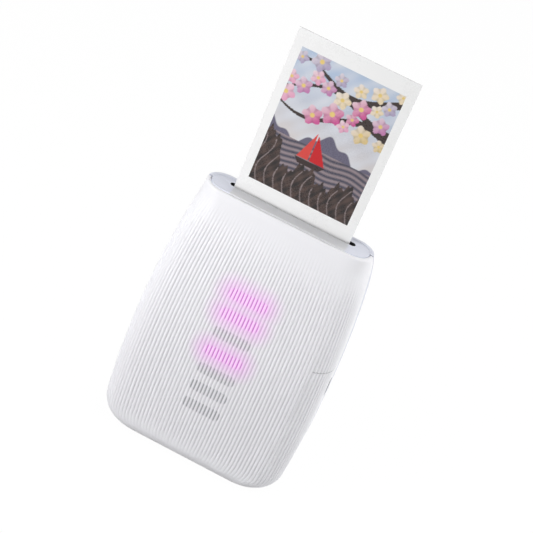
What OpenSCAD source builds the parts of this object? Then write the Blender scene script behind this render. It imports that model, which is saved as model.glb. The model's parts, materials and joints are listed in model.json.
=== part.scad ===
// Compact photo printer for small instant sheets, standing on its base.
// Origin: centre of the base. +X is right, the ribbed front faces -Y, the sheet leaves towards +Z.

/* [Film] */
// Width of a sheet
film_w = 54; // [50:0.5:58]
// Height of a sheet
film_h = 86; // [80:0.5:92]
// Thickness of a sheet
film_t = 0.4; // [0.3:0.05:0.5]
// Width of the picture on a sheet
picture_w = 46; // [40:0.5:48]
// Height of the picture on a sheet
picture_h = 62; // [56:0.5:64]
// White border under the picture
picture_low = 17; // [14:0.5:20]
// Side rail of the film pack, beside the sheets
pack_side = 8; // [7:0.1:9]
// Closed foot of the film pack, under the sheets
pack_floor = 6; // [5:0.1:7]
// Closed head of the film pack, above the sheets
pack_head = 5; // [4.4:0.1:6]
// Depth of the film pack
pack_d = 14.6; // [14:0.1:16]
// Depth of the stack of sheets left in the pack
stack_d = 4.5; // [1:0.5:5]

/* [Body] */
// Room beside the film pack for the door's hinge, the port and the buttons
side_room = 10; // [9.6:0.1:12]
// Room under the film pack
foot_room = 10.1; // [9.6:0.1:14]
// Room above the film pack for the print head and the rollers
head_room = 17.9; // [17.6:0.1:20]
// Room in front of the film pack for the boards, the battery and the motor
front_room = 19.55; // [19.4:0.05:23]
// Room behind the film pack for the door
back_room = 3.15; // [3.1:0.05:3.6]
// Distance from the edge of a sheet to the end of the body's top
top_side = 11.5; // [11:0.1:14]
// Depth of the body at its top
top_d = 16.5; // [16:0.1:20]
// Height of the widest place
widest_z = 40; // [30:1:50]
// Height above which the front leans back
lean_z = 50; // [40:1:60]
// Height of the straight part of the back under the film pack's top
shoulder_drop = 3.1; // [1:0.1:6]
// Radius of the upright corners at the front
front_corner_r = 12; // [9:0.5:14]
// Radius of the upright corners at the back
back_corner_r = 8; // [6:0.5:8]
// Radius of the rounding under the front and the back
foot_r = 7; // [5:0.5:8]
// Radius of the lower corners seen from the front
side_foot_r = 12; // [10:0.5:14]
// Wall of the covers
wall = 1.8; // [1.4:0.1:2]
// Gap of the seams between covers
seam = 0.2; // [0.1:0.05:0.3]
// Thickness of the base plate
base_t = 1.4; // [1.2:0.1:2]
// Thickness of the top cover
top_t = 2.4; // [1.8:0.1:2.6]

/* [Ribs] */
// Number of upright ribs on the front cover
rib_count = 66; // [56:1:70]
// Pitch of the ribs at the widest place; it shrinks with the width
rib_pitch = 1.65; // [1.5:0.05:1.75]
// Depth of the grooves between the ribs
rib_depth = 0.45; // [0.2:0.05:0.7]
// Least smooth strip between the last rib and the side seam
rib_margin = 2; // [1:0.5:5]
// Distance from the top at which the ribs have run out
rib_runout = 9.6; // [7:0.1:14]
// Length over which the ribs run out
rib_fade = 8; // [4:0.5:12]

/* [Drive] */
// Radius of a spread roller
roller_r = 3.6; // [3.2:0.1:3.8]
// Radius of a roller shaft
shaft_r = 1.2; // [1:0.1:1.5]
// Teeth of a roller gear
roller_teeth = 15; // [15:1:16]
// Teeth of the upper idler
upper_teeth = 14; // [13:1:14]
// Teeth of the lower idler
lower_teeth = 18; // [16:1:18]
// Teeth of the motor pinion
pinion_teeth = 12; // [12:1:13]
// Face width of the gears
gear_w = 2.2; // [1.6:0.1:2.4]
// Diameter of the motor
motor_d = 11; // [9:0.2:11]
// Length of the motor
motor_l = 15; // [12:0.5:15.5]

/* [Door] */
// Distance of the door's hinge axis from the side of the film pack
hinge_out = 2.6; // [2.5:0.1:3]
// Radius of the hinge knuckles
knuckle_r = 1.7; // [1.6:0.05:1.75]
// Radius of the hinge pins
hinge_pin_r = 0.8; // [0.6:0.05:0.9]
// Width of the door's window
window_w = 12; // [8:0.5:16]
// Height of the door's window
window_h = 26; // [16:0.5:32]

/* [Side] */
// Height of the charging port's middle
port_z = 58; // [54:0.5:62]
// Length of the charging port's mouth
port_l = 9; // [8.6:0.1:9.4]
// Width of the charging port's mouth
port_w = 3.2; // [3:0.05:3.4]
// Height of the side panel
panel_h = 28; // [22:0.5:32]
// How far round the front corner the side panel reaches, in degrees
panel_turn = 69; // [40:1:80]
// Length of a button
button_l = 12; // [9:0.5:14]
// Width of a button
button_w = 5; // [4:0.2:5.4]

/* [Electrics] */
// Distance from a board screw to the main board's side edge
board_edge = 3; // [2:0.1:4]
// Height of the main board
board_h = 68; // [60:0.5:70]
// Thickness of the circuit boards
board_t = 1; // [0.8:0.1:1.2]
// Width of the battery
battery_w = 44; // [36:0.5:46]
// Height of the battery
battery_h = 56; // [44:0.5:60]
// Thickness of the battery
battery_t = 4.4; // [3.5:0.1:4.6]
// Width of the light guide behind the ribs
guide_w = 21; // [16:0.5:24]
// Height of the light guide
guide_h = 73; // [60:0.5:74]

/* [Hidden] */
$fn = 48;
past = 1;              // how far a cutter runs past the face it cuts
run = 0.05;            // radial clearance of a shaft or pin in its bore
slip = 0.3;            // clearance between pieces that pass each other
seat = 0.15;           // clearance of a piece in its seat
side_taper = 2;        // how much each side draws in towards the base
split_y = 6;           // where the front cover meets the rear shell on the sides
side_power = 2.3;      // how the sides draw in towards the top
sheet = 1.2;           // wall of the chassis and of the roller plates

// ---------- overall sizes ----------
pack_w = film_w + 2*pack_side;
pack_h = pack_floor + film_h + pack_head;
body_w = pack_w + 2*side_room;
body_h = foot_room + pack_h + head_room;
body_d = front_room + pack_d + back_room;
top_w = film_w + 2*top_side;
shoulder_z = foot_room + pack_h - shoulder_drop;
hinge_x = pack_w/2 + hinge_out;

// ---------- outline of the body ----------
function rounding(z, r) = z >= r ? 0 : r - sqrt(r*r - (r - z)*(r - z));
function rise(z, from) = max(0, (z - from)/(body_h - from));
function half_w(z) = body_w/2 - rounding(z, side_foot_r)
    - (body_w - top_w)/2 * pow(rise(z, widest_z), side_power)
    - side_taper * pow(max(0, (widest_z - z)/widest_z), 2);
function front_y(z) = (body_d - top_d)/2 * pow(rise(z, lean_z), 2) + rounding(z, foot_r) - body_d/2;
function back_y(z) = body_d/2 - rounding(z, foot_r) - (body_d - top_d)/2 * pow(rise(z, shoulder_z), 2);
function half_depth(z) = (back_y(z) - front_y(z))/2;
function front_r(z) = min(front_corner_r, 0.98*half_depth(z));
function back_r(z) = min(back_corner_r, 0.98*half_depth(z));
function split(z) = min(split_y, back_y(z) - back_r(z));

function arc(cx, cy, r, from, to, steps) =
    [for (i = [0:steps]) let(a = from + (to - from)*i/steps) [cx + r*cos(a), cy + r*sin(a)]];
function outline(z, inset) = let(
    w = half_w(z) - inset,
    f = front_y(z) + inset,
    b = back_y(z) - inset,
    rf = max(front_r(z) - inset, 0.5),
    rb = max(back_r(z) - inset, 0.5))
    concat(arc(w - rf, f + rf, rf, 0, -90, 6), arc(rf - w, f + rf, rf, -90, -180, 6),
        arc(rb - w, b - rb, rb, 180, 90, 5), arc(w - rb, b - rb, rb, 90, 0, 5));

// Solid between stacked rings of points, with its two ends closed round a middle point
module loft(heights, rings, middles) {
    n = len(rings[0]);
    last = len(rings) - 1;
    base_mid = n*(last + 1);
    points = concat([for (k = [0:last]) for (p = rings[k]) [p[0], p[1], heights[k]]],
        [[middles[0][0], middles[0][1], heights[0]], [middles[1][0], middles[1][1], heights[last]]]);
    walls = [for (k = [0:last - 1]) for (i = [0:n - 1]) let(j = (i + 1) % n)
        each [[k*n + i, k*n + j, (k + 1)*n + i], [k*n + j, (k + 1)*n + j, (k + 1)*n + i]]];
    ends = [for (i = [0:n - 1]) let(j = (i + 1) % n)
        each [[j, i, base_mid], [last*n + i, last*n + j, base_mid + 1]]];
    polyhedron(points, concat(walls, ends));
}

form_heights = [0, 0.4, 1.4, 3, 5, 8, 12, 20, 30, 40, 55, 70, 85, 96, 104, 110, 115, 119, 122, 125];
// Whole body, drawn in by inset, between two heights
module body_form(inset, low, high) {
    heights = concat([low], [for (z = form_heights) let(h = z*body_h/125)
        if (h > low + 0.2 && h < high - 0.2) h], [high]);
    loft(heights, [for (z = heights) outline(z, inset)], [[0, 0], [0, 0]]);
}

// ---------- small shared shapes ----------
module block(x0, x1, y0, y1, z0, z1) {
    translate([x0, y0, z0]) cube([x1 - x0, y1 - y0, z1 - z0]);
}
module rod_x(r, x0, x1, y, z) {
    translate([x0, y, z]) rotate([0, 90, 0]) cylinder(h = x1 - x0, r = r);
}
module rod_y(r, y0, y1, x, z) {
    translate([x, y1, z]) rotate([90, 0, 0]) cylinder(h = y1 - y0, r = r);
}
module rod_z(r, z0, z1, x, y) {
    translate([x, y, z0]) cylinder(h = z1 - z0, r = r);
}
// Upright bar with round ends, pushed out along Y or X
module slot_y(length, width, y0, y1, x, z) {
    translate([x, y1, z]) rotate([90, 0, 0]) linear_extrude(y1 - y0) rotate(90) pill(length, width);
}
module slot_x(length, width, x0, x1, y, z) {
    translate([x0, y, z]) rotate([90, 0, 90]) linear_extrude(x1 - x0) rotate(90) pill(length, width);
}
// Bar with round ends along X, pushed out along Z
module slot_z(length, width, z0, z1, x, y) {
    translate([x, y, z0]) linear_extrude(z1 - z0) pill(length, width);
}
module pill(length, width) {
    square([length - width, width], center = true);
    for (side = [-1, 1]) translate([side*(length - width)/2, 0]) circle(d = width);
}

// ---------- places shared by the pieces ----------
pack_front = front_room - body_d/2;
pack_back = pack_front + pack_d;
pack_low = foot_room;
pack_top = foot_room + pack_h;
pack_skin = 0.6;                                   // wall of the pack in front of the first sheet
film_front = pack_front + pack_skin + slip;
film_back = film_front + film_t;
film_y = (film_front + film_back)/2;               // plane in which the sheet travels
film_home = pack_low + pack_floor;                 // lower edge of a sheet that is still in the pack
pack_gap = 0.3;                                    // play of the pack in the chassis
chassis_x = pack_w/2 + pack_gap;
chassis_y = pack_front - seam;                     // inner face of the chassis's front wall
chassis_low = pack_low - pack_gap - sheet;
chassis_top = pack_top + seam + sheet;
chassis_back = pack_back - 1.5;

nip_z = body_h - 7.5;                              // height of the rollers
grip = 3;                                          // how far the sheet at rest reaches below the nip
film_z = nip_z - grip;                             // lower edge of the sheet at rest
nip_gap = 0.1;
front_axis_y = film_front - nip_gap - roller_r;
rear_axis_y = film_back + nip_gap + roller_r;
roller_half = film_w/2 + 0.6;
gear_x = roller_half + 1;                          // inner face of the gears
plate_x = gear_x + gear_w + 0.8;                   // inner face of the roller plates
shaft_end = plate_x + sheet + 0.4;
bush_r = shaft_r + 0.9;

panel_low = port_z - panel_h/2;
panel_high = port_z + panel_h/2;
panel_x = half_w(port_z) - front_corner_r*(1 - cos(panel_turn));   // front edge of the side panel
port_y = 1.5;

// ---------- front cover ----------
function side_run(z) = split(z) - front_y(z) - front_r(z);
function bend_run(z) = PI/2*front_r(z);
function path_run(z) = 2*side_run(z) + 2*bend_run(z) + 2*(half_w(z) - front_r(z));
// Place and outward direction [x, y, nx, ny] at a distance along the cover from its right seam
function cover_at(z, s) = s > path_run(z)/2
    ? let(p = cover_at(z, path_run(z) - s)) [-p[0], p[1], -p[2], p[3]]
    : s <= side_run(z) ? [half_w(z), split(z) - s, 1, 0]
    : s < side_run(z) + bend_run(z)
        ? let(a = (s - side_run(z))/front_r(z)*180/PI, r = front_r(z))
            [half_w(z) - r + r*cos(a), front_y(z) + r - r*sin(a), cos(a), -sin(a)]
    : [half_w(z) - front_r(z) - (s - side_run(z) - bend_run(z)), front_y(z), 0, -1];
function ease(t) = let(u = min(max(t, 0), 1)) u*u*(3 - 2*u);
// Depth of the grooves, which run out under the top edge and at the bottom edge
function groove(z) = rib_depth * ease((body_h - rib_runout - z)/rib_fade) * ease((z - cover_low)/1.4);
// One rib and its groove: share of the pitch, share of the depth
rib_profile = [[0, 0], [0.5, 0], [0.76, 1]];
function pitch_at(z) =
    min(rib_pitch*half_w(z)/(body_w/2), (path_run(z)/2 - rib_margin)/(rib_count/2));
function ribbed_ring(z) = let(middle = path_run(z)/2, pitch = pitch_at(z))
    concat([[half_w(z), split(z)]],
        [for (i = [0:rib_count - 1]) for (q = rib_profile)
            let(p = cover_at(z, middle + pitch*(i - rib_count/2 + q[0])), d = groove(z)*q[1])
            [p[0] - p[2]*d, p[1] - p[3]*d]],
        [[-half_w(z), split(z)]]);
function inner_ring(z) = let(s0 = side_run(z), b = bend_run(z), steps = 6,
    right = [for (i = [0:steps]) let(p = cover_at(z, s0 + b*i/steps)) [p[0] - p[2]*wall, p[1] - p[3]*wall]])
    concat([[half_w(z) - wall, split(z) + past]], right,
        [for (i = [steps:-1:0]) [-right[i][0], right[i][1]]], [[wall - half_w(z), split(z) + past]]);
cover_low = base_t + seam;
cover_high = body_h - 0.4;
cover_heights = [1.4, 4, 8, 13, 20, 30, 42, 55, 67, 79, 90, 99];
top_heights = [rib_runout + rib_fade, rib_runout + rib_fade/2, rib_runout, 5];

module ribbed_shell() {
    heights = concat([cover_low], [for (h = cover_heights) cover_low + h],
        [for (h = top_heights) body_h - h], [cover_high]);
    inner = concat([cover_low - past], [for (h = cover_heights) cover_low + h],
        [for (h = [18, 12, 6]) body_h - h], [cover_high + past]);
    inner_z = [for (z = inner) min(max(z, cover_low), cover_high)];
    difference() {
        loft(heights, [for (z = heights) ribbed_ring(z)],
            [[0, split(cover_low) - seam], [0, split(cover_high) - seam]]);
        loft(inner, [for (z = inner_z) inner_ring(z)], [[0, 0], [0, 0]]);
    }
}
// The shell without the side panel's place and the openings for the buttons and the lamp
module front_cover() {
    color([0.96, 0.96, 0.97])
    difference() {
        ribbed_shell();
        block(panel_x, body_w, -body_d, body_d, panel_low, panel_high);
        for (z = [power_z, mode_z])
            slot_x(button_l + 2*seam, button_w + 2*seam, -body_w, -body_w/4, button_y, z);
        rod_x(lamp_r + seat, -body_w, -body_w/4, button_y, lamp_z);
    }
}
module side_panel() {
    low = panel_low + seam;
    high = panel_high - seam;
    color([0.94, 0.94, 0.96])
    difference() {
        intersection() {
            ribbed_shell();
            block(panel_x + seam, body_w, -body_d, split_y - seam/2, low, high);
        }
        slot_x(port_l, port_w, body_w/4, body_w, port_y, port_z);
    }
}

// ---------- base and top ----------
// Plate with two ribs on which the chassis stands
module base_plate() {
    color([0.72, 0.74, 0.80]) {
        body_form(0, 0, base_t);
        for (x = [-foot_rib_x, foot_rib_x])
            block(x - sheet/2, x + sheet/2, chassis_y, chassis_back, base_t/2, chassis_low);
    }
}
foot_rib_x = film_w/2 - 7;
top_gap = 0.08;                                    // gap round the top cover
top_r = top_d/2 - wall - top_gap;
top_half = top_w/2 - wall - top_gap;
slot_l = film_w + 4.6;
slot_d = 3;
module top_cover() {
    color([0.75, 0.78, 0.86])
    difference() {
        slot_z(2*top_half, 2*top_r, body_h - 0.1 - top_t, body_h - 0.1, 0, 0);
        slot_z(slot_l, slot_d, 0, 2*body_h, 0.4, film_y);
    }
}

// ---------- rear shell ----------
hinge_y = body_d/2 - 2.05;
door_low = 8;
door_high = chassis_top + 0.4;
hinge_heights = [24, 80];
knuckle_l = 5;
sweep_r = 2.4;                                     // what the door's edge needs round the hinge axis
latch_z = 60;
latch_l = 18;
latch_travel = 4;
latch_reach = 1;
module split_half() {
    heights = concat([-past], [for (z = form_heights) z*body_h/125], [body_h + past]);
    points = concat([for (z = heights) [split(min(max(z, 0), body_h)) + seam, z]],
        [[body_d, body_h + past], [body_d, -past]]);
    translate([-body_w, 0, 0]) rotate([90, 0, 90]) linear_extrude(2*body_w) polygon(points);
}
module door_opening() {
    block(-hinge_x, hinge_x, split_y + 1, body_d, door_low, door_high);
    rod_z(sweep_r, door_low, door_high, -hinge_x, hinge_y);
    block(-hinge_x - sweep_r, 0, hinge_y, body_d, door_low, door_high);
}
// Fixed knuckles above and below each knuckle of the door, with their webs to the side wall
module shell_knuckles() {
    for (z = hinge_heights) for (side = [-1, 1]) {
        low = z + side*(knuckle_l + slip) - knuckle_l/2;
        rod_z(knuckle_r, low, low + knuckle_l, -hinge_x, hinge_y);
        block(-hinge_x - 5, -hinge_x, hinge_y - knuckle_r, hinge_y - slip, low, low + knuckle_l);
    }
}
module rear_shell() {
    color([0.75, 0.78, 0.86])
    difference() {
        intersection() {
            body_form(0, base_t + seam, body_h);
            split_half();
        }
        difference() {
            union() {
                body_form(wall, base_t, body_h + past);
                door_opening();
            }
            shell_knuckles();
        }
        for (z = hinge_heights)
            rod_z(hinge_pin_r, z - 2*knuckle_l, z + 2*knuckle_l, -hinge_x, hinge_y);
        block(hinge_x - past, hinge_x + latch_reach + slip, hinge_y - 2.6, body_d,
            latch_z - latch_l/2 - latch_travel, latch_z + latch_l/2);
    }
}

// ---------- door ----------
door_in = body_d/2 - wall;                         // inner face of the door
window_z = door_high - 31;
tab_w = 4;
tab_x = pack_w/2 - 2;                              // the latch's grip
seal_half = tab_x - tab_w/2 - 1 - slip;
seal_w = 2;
module film_door() {
    low = door_low + seam;
    high = door_high - seam;
    color([0.75, 0.78, 0.86])
    difference() {
        union() {
            difference() {
                intersection() {
                    body_form(0, low, high);
                    block(-hinge_x, hinge_x - seam, split_y + 1 + seam, body_d, low, high);
                }
                body_form(wall, low - past, high + past);
                for (z = hinge_heights) for (side = [-1, 1])
                    rod_z(knuckle_r + slip, z + side*(knuckle_l + slip) - knuckle_l/2 - slip,
                        z + side*(knuckle_l + slip) + knuckle_l/2 + slip, -hinge_x, hinge_y);
            }
            for (z = hinge_heights)
                rod_z(knuckle_r, z - knuckle_l/2, z + knuckle_l/2, -hinge_x, hinge_y);
            for (z = [door_low + 10, door_high - 10])
                block(6 - seal_half, seal_half - 6, pack_back + slip, door_in + 0.5, z - 0.6, z + 0.6);
        }
        for (z = hinge_heights)
            rod_z(hinge_pin_r + run, z - knuckle_l, z + knuckle_l, -hinge_x, hinge_y);
        slot_y(window_h, window_w, door_in - past, body_d, 0, window_z);
        block(tab_x - tab_w/2 - slip, tab_x + tab_w/2 + slip, door_in - past, body_d,
            latch_z - latch_l/2 - latch_travel - slip, latch_z + latch_l/2 + slip);
    }
}
module door_window() {
    color([0.35, 0.38, 0.42, 0.6])
    slot_y(window_h - 2*seat, window_w - 2*seat, door_in, body_d/2 - 0.3, 0, window_z);
}
module door_seal() {
    color([0.1, 0.1, 0.1])
    difference() {
        block(-seal_half, seal_half, door_in - 0.8, door_in, door_low + 0.6, shoulder_z);
        block(seal_w - seal_half, seal_half - seal_w, 0, body_d, door_low + 0.6 + seal_w, shoulder_z - seal_w);
    }
}
module door_hinge_pins() {
    color([0.7, 0.7, 0.72])
    for (z = hinge_heights)
        rod_z(hinge_pin_r, z - 1.5*knuckle_l - slip, z + 1.5*knuckle_l + slip, -hinge_x, hinge_y);
}
module door_latch() {
    low = latch_z - latch_l/2;
    high = latch_z + latch_l/2;
    color([0.6, 0.62, 0.7]) {
        difference() {
            block(tab_x - tab_w/2, tab_x + tab_w/2, pack_back + slip, body_d/2 - 0.2, low, high);
            for (z = [low + 3:2:high - 3])
                block(tab_x - tab_w, tab_x + tab_w, body_d/2 - 0.8, body_d, z - 0.5, z + 0.5);
        }
        block(tab_x - tab_w/2 - 1, hinge_x - 0.4, pack_back + slip, door_in - slip, low, high);
        block(side_in + slip, hinge_x + latch_reach, pack_back - 1.2, pack_back + 0.8, latch_z - 4, latch_z + 4);
    }
}
module latch_spring() {
    color([0.7, 0.7, 0.72])
    block(tab_x - 1.5, tab_x + 1.5, pack_back + slip, door_in - slip, latch_z + latch_l/2 + 0.2, latch_z + latch_l/2 + 9);
}
pad_x = 11;                                        // middle of a pressure spring
pad_w = 8;
pad_span = 44;
pad_z = (pack_low + pack_top)/2;
pad_t = 0.4;
plate_back = film_back + slip + stack_d + 0.8;     // back of the pressure plate in the pack
module pressure_springs() {
    rise_l = door_in - plate_back - 0.3;
    bend = (pad_span*pad_span/4 + rise_l*rise_l)/(2*rise_l);
    color([0.75, 0.75, 0.77])
    for (side = [-1, 1])
        translate([side*pad_x - pad_w/2, 0, 0]) rotate([90, 0, 90]) linear_extrude(pad_w)
            intersection() {
                translate([plate_back + 0.3 + bend, pad_z]) difference() {
                    circle(r = bend, $fn = 180);
                    circle(r = bend - pad_t, $fn = 180);
                }
                translate([plate_back, pad_z - pad_span]) square([door_in - plate_back, 2*pad_span]);
            }
}

// ---------- chassis ----------
stroke = nip_z - film_home - film_h;               // how far the claw lifts a sheet
claw_x = film_w/2 - 3;
claw_w = 3;
claw_plate_w = 6;
claw_back = chassis_y - sheet - 0.4;               // face of the claw's plate towards the chassis
claw_t = 1;
claw_low = film_home - 3;
claw_reach = 34;                                   // how far the claw's plate reaches above the foot of a sheet
claw_high = film_home + claw_reach;
stud_z = claw_high - 4;
board_front = chassis_y - sheet - 7.7;
board_low = foot_room + 3.9;
board_high = board_low + board_h;
post_r = 2;
screw_r = 0.9;
battery_low = board_low + 2;
claw_room = 2;                                     // between the claw's plate and the board's post
post_x = claw_x + claw_plate_w/2 + claw_room + post_r;
post_z = [board_low + 4, board_high - 4];
board_w = 2*(post_x + board_edge);
battery_x = (claw_x - claw_plate_w/2 - post_x + post_r)/2;         // midway between the claw's plate and the posts
battery_left = battery_x - battery_w/2;
battery_right = battery_x + battery_w/2;
chassis_w = 2*(chassis_x + sheet);
module chassis() {
    front = chassis_y - sheet;
    color([0.2, 0.2, 0.22])
    difference() {
        union() {
            block(-chassis_w/2, chassis_w/2, front, chassis_back, chassis_low, chassis_top);
            for (x = [-post_x, post_x]) for (z = post_z)
                rod_y(post_r, board_front + board_t, front + 0.5, x, z);
            rod_y(1.4, claw_back - claw_t - 0.2, front + 0.5, claw_x, stud_z);
            rod_y(2.3, claw_back - claw_t - 1, claw_back - claw_t - 0.2, claw_x, stud_z);
        }
        block(-chassis_x, chassis_x, chassis_y, chassis_back + past, pack_low - pack_gap, pack_top + seam);
        block(-film_w/2 - 1, film_w/2 + 1, film_front - slip, film_back + slip, pack_top, chassis_top + past);
        block(claw_x - claw_w/2 - slip, claw_x + claw_w/2 + slip, front - past, chassis_y + past,
            claw_low - slip, film_home + stroke + slip);
        for (x = [-1, 1]) for (y = [1.4, 7])
            rod_z(screw_r, pack_top, chassis_top + past, x*flange_x, y);
        for (x = [-post_x, post_x]) for (z = post_z)
            rod_y(screw_r, board_front, -2, x, z);
        block(-14, 10, front - past, chassis_y + past, board_high + 2, pack_top - 7);
    }
}
flange_x = plate_x + sheet + 1.8;
module roller_plate(side) {
    low = chassis_top;
    top = nip_z + 4.2;
    x0 = side > 0 ? plate_x : -plate_x - sheet;
    difference() {
        union() {
            translate([x0, 0, 0]) rotate([90, 0, 90]) linear_extrude(sheet)
                polygon(side > 0
                    ? [[-5.8, top], [8.8, top], [8.8, low], [chassis_y - sheet - seam, low],
                       [chassis_y - sheet - seam, motor_z - 3], [motor_y - 3, motor_z - 3], [-11.2, lower_at[1] - 1],
                       [-8.8, upper_at[1]]]
                    : [[-5.8, top], [8.8, top], [8.8, low], [-5.8, low]]);
            block(min(x0, side*(flange_x + 1.8)), max(x0 + sheet, side*(flange_x + 1.8)), 0, 8.8, low, low + sheet);
        }
        for (y = [front_axis_y, rear_axis_y])
            rod_x(bush_r, x0 - past, x0 + sheet + past, y, nip_z);
        for (y = [1.4, 7])
            rod_z(screw_r, low - past, low + sheet + past, side*flange_x, y);
        if (side > 0) {
            rod_x(idler_pin_r, x0 - past, x0 + sheet + past, upper_at[0], upper_at[1]);
            rod_x(idler_pin_r, x0 - past, x0 + sheet + past, lower_at[0], lower_at[1]);
        }
    }
}
module roller_plate_left() color([0.75, 0.76, 0.78]) roller_plate(-1);
module roller_plate_right() color([0.75, 0.76, 0.78]) roller_plate(1);

// ---------- rollers and gear train ----------
gear_module = (rear_axis_y - front_axis_y)/roller_teeth;
pressure_angle = 22;
backlash = 0.12;
idler_pin_r = 1;
motor_shaft_r = 0.75;
function pitch_r(teeth) = gear_module*teeth/2;
// Centre of the next gear, at a bearing measured from +Y towards +Z
function next_at(from, teeth_a, teeth_b, bearing) = let(d = pitch_r(teeth_a) + pitch_r(teeth_b) + 0.02)
    [from[0] + d*cos(bearing), from[1] + d*sin(bearing)];
// Turn that puts a gap of the next gear where the first gear has a tooth
function next_turn(turn, teeth_a, teeth_b, bearing) = let(phase = (bearing - turn)*teeth_a/360)
    bearing + 180 - (0.5 - phase)*360/teeth_b;
front_at = [front_axis_y, nip_z];
rear_at = [rear_axis_y, nip_z];
upper_bearing = 243;
lower_bearing = 264;
motor_bearing = 265;
upper_at = next_at(front_at, roller_teeth, upper_teeth, upper_bearing);
lower_at = next_at(upper_at, upper_teeth, lower_teeth, lower_bearing);
motor_at = next_at(lower_at, lower_teeth, pinion_teeth, motor_bearing);
motor_y = motor_at[0];
motor_z = motor_at[1];
front_turn = 0;
rear_turn = next_turn(front_turn, roller_teeth, roller_teeth, 0);
upper_turn = next_turn(front_turn, roller_teeth, upper_teeth, upper_bearing);
lower_turn = next_turn(upper_turn, upper_teeth, lower_teeth, lower_bearing);
pinion_turn = next_turn(lower_turn, lower_teeth, pinion_teeth, motor_bearing);

// Involute tooth flank: angle of the flank from the tooth's middle at radius r
function roll_angle(r, base) = r <= base ? 0 : let(t = sqrt(r*r/(base*base) - 1)) t*180/PI - atan(t);
module spur_gear(teeth, bore) {
    rp = pitch_r(teeth);
    base = rp*cos(pressure_angle);
    tip = rp + 0.8*gear_module;
    root = rp - 1.05*gear_module;
    half_tooth = 90/teeth - backlash/2/rp*180/PI + roll_angle(rp, base);
    radii = [root, max(base, root + 0.01), (base + tip)/2, tip];
    points = [for (k = [0:teeth - 1]) each concat(
        [for (r = radii) let(a = k*360/teeth - half_tooth + roll_angle(r, base)) [r*cos(a), r*sin(a)]],
        [for (i = [3:-1:0]) let(r = radii[i], a = k*360/teeth + half_tooth - roll_angle(r, base))
            [r*cos(a), r*sin(a)]])];
    linear_extrude(gear_w) difference() {
        polygon(points);
        circle(r = bore);
    }
}
module gear_at(place, turn, teeth, bore) {
    translate([gear_x, place[0], place[1]]) rotate([90, 0, 90]) rotate(turn) spur_gear(teeth, bore);
}
module roller(y) {
    difference() {
        rod_x(roller_r, -roller_half, roller_half, y, nip_z);
        rod_x(shaft_r, -roller_half - past, roller_half + past, y, nip_z);
        for (x = [-roller_half/2, roller_half/2])
            translate([x, y, nip_z]) rotate([0, 90, 0]) rotate_extrude()
                translate([roller_r, 0]) circle(r = 0.3, $fn = 16);
    }
}
module front_roller() color([0.25, 0.25, 0.27]) roller(front_axis_y);
module rear_roller() color([0.25, 0.25, 0.27]) roller(rear_axis_y);
module front_roller_shaft() color([0.7, 0.7, 0.72]) rod_x(shaft_r, -shaft_end, shaft_end, front_axis_y, nip_z);
module rear_roller_shaft() color([0.7, 0.7, 0.72]) rod_x(shaft_r, -shaft_end, shaft_end, rear_axis_y, nip_z);
module roller_bushes() {
    color([0.8, 0.6, 0.3])
    for (side = [-1, 1]) for (y = [front_axis_y, rear_axis_y])
        difference() {
            rod_x(bush_r, min(side*plate_x, side*(plate_x + sheet)), max(side*plate_x, side*(plate_x + sheet)),
                y, nip_z);
            rod_x(shaft_r + run, -shaft_end - past, shaft_end + past, y, nip_z);
        }
}
module front_roller_gear() color([0.9, 0.9, 0.86]) gear_at(front_at, front_turn, roller_teeth, shaft_r);
module rear_roller_gear() color([0.9, 0.9, 0.86]) gear_at(rear_at, rear_turn, roller_teeth, shaft_r);
module upper_idler_gear() color([0.85, 0.85, 0.8]) gear_at(upper_at, upper_turn, upper_teeth, idler_pin_r + run);
module lower_idler_gear() color([0.85, 0.85, 0.8]) gear_at(lower_at, lower_turn, lower_teeth, idler_pin_r + run);
module idler_pins() {
    color([0.7, 0.7, 0.72])
    for (place = [upper_at, lower_at])
        rod_x(idler_pin_r, gear_x - 0.6, plate_x + sheet, place[0], place[1]);
}
motor_x = gear_x - 1;                              // face of the motor towards its pinion
module motor() {
    color([0.72, 0.73, 0.75])
    difference() {
        union() {
            rod_x(motor_d/2, motor_x - motor_l, motor_x, motor_y, motor_z);
            rod_x(2, motor_x - motor_l - 1, motor_x + 0.6, motor_y, motor_z);
        }
        rod_x(motor_shaft_r + run, motor_x - 4, motor_x + 2, motor_y, motor_z);
    }
}
module motor_clip() {
    color([0.2, 0.2, 0.22])
    difference() {
        block(motor_x - motor_l + 3, motor_x - 4, motor_y, chassis_y - sheet, motor_z - motor_d/2 - 1.2,
            motor_z + motor_d/2 + 1.2);
        rod_x(motor_d/2 + 0.02, 0, motor_x + past, motor_y, motor_z);
    }
}
module motor_pinion() {
    color([0.85, 0.7, 0.4]) {
        gear_at(motor_at, pinion_turn, pinion_teeth, motor_shaft_r);
        rod_x(motor_shaft_r, motor_x - 3.5, gear_x + gear_w + 0.3, motor_y, motor_z);
    }
}

// ---------- print head and seals ----------
head_low = chassis_top;
head_high = nip_z - roller_r - slip;
head_back = film_front - 0.4;
lens_z = (head_low + head_high)/2;
lens_h = 1.6;
module print_head() {
    color([0.15, 0.15, 0.17])
    difference() {
        block(-film_w/2 - 0.8, film_w/2 + 0.8, board_front, head_back, head_low, head_high);
        block(-film_w/2 + 1, film_w/2 - 1, head_back - 2, head_back + past, lens_z - lens_h/2, lens_z + lens_h/2);
        block(-film_w/2 + 3, film_w/2 - 3, board_front + 1.5, head_back - 3.5, head_low - past, head_high - 1);
    }
}
module head_lens() {
    color([0.6, 0.65, 0.7])
    block(-film_w/2 + 1, film_w/2 - 1, head_back - 2, head_back, lens_z - lens_h/2, lens_z + lens_h/2);
}
module slot_seals() {
    top = body_h - 0.1 - top_t;
    low = nip_z + roller_r + 0.25;
    color([0.08, 0.08, 0.08])
    for (y = [film_front - slip - 1.6, film_back + slip])
        block(-film_w/2 - 1.5, film_w/2 + 1.5, y, y + 1.6, low, top);
}

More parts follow.
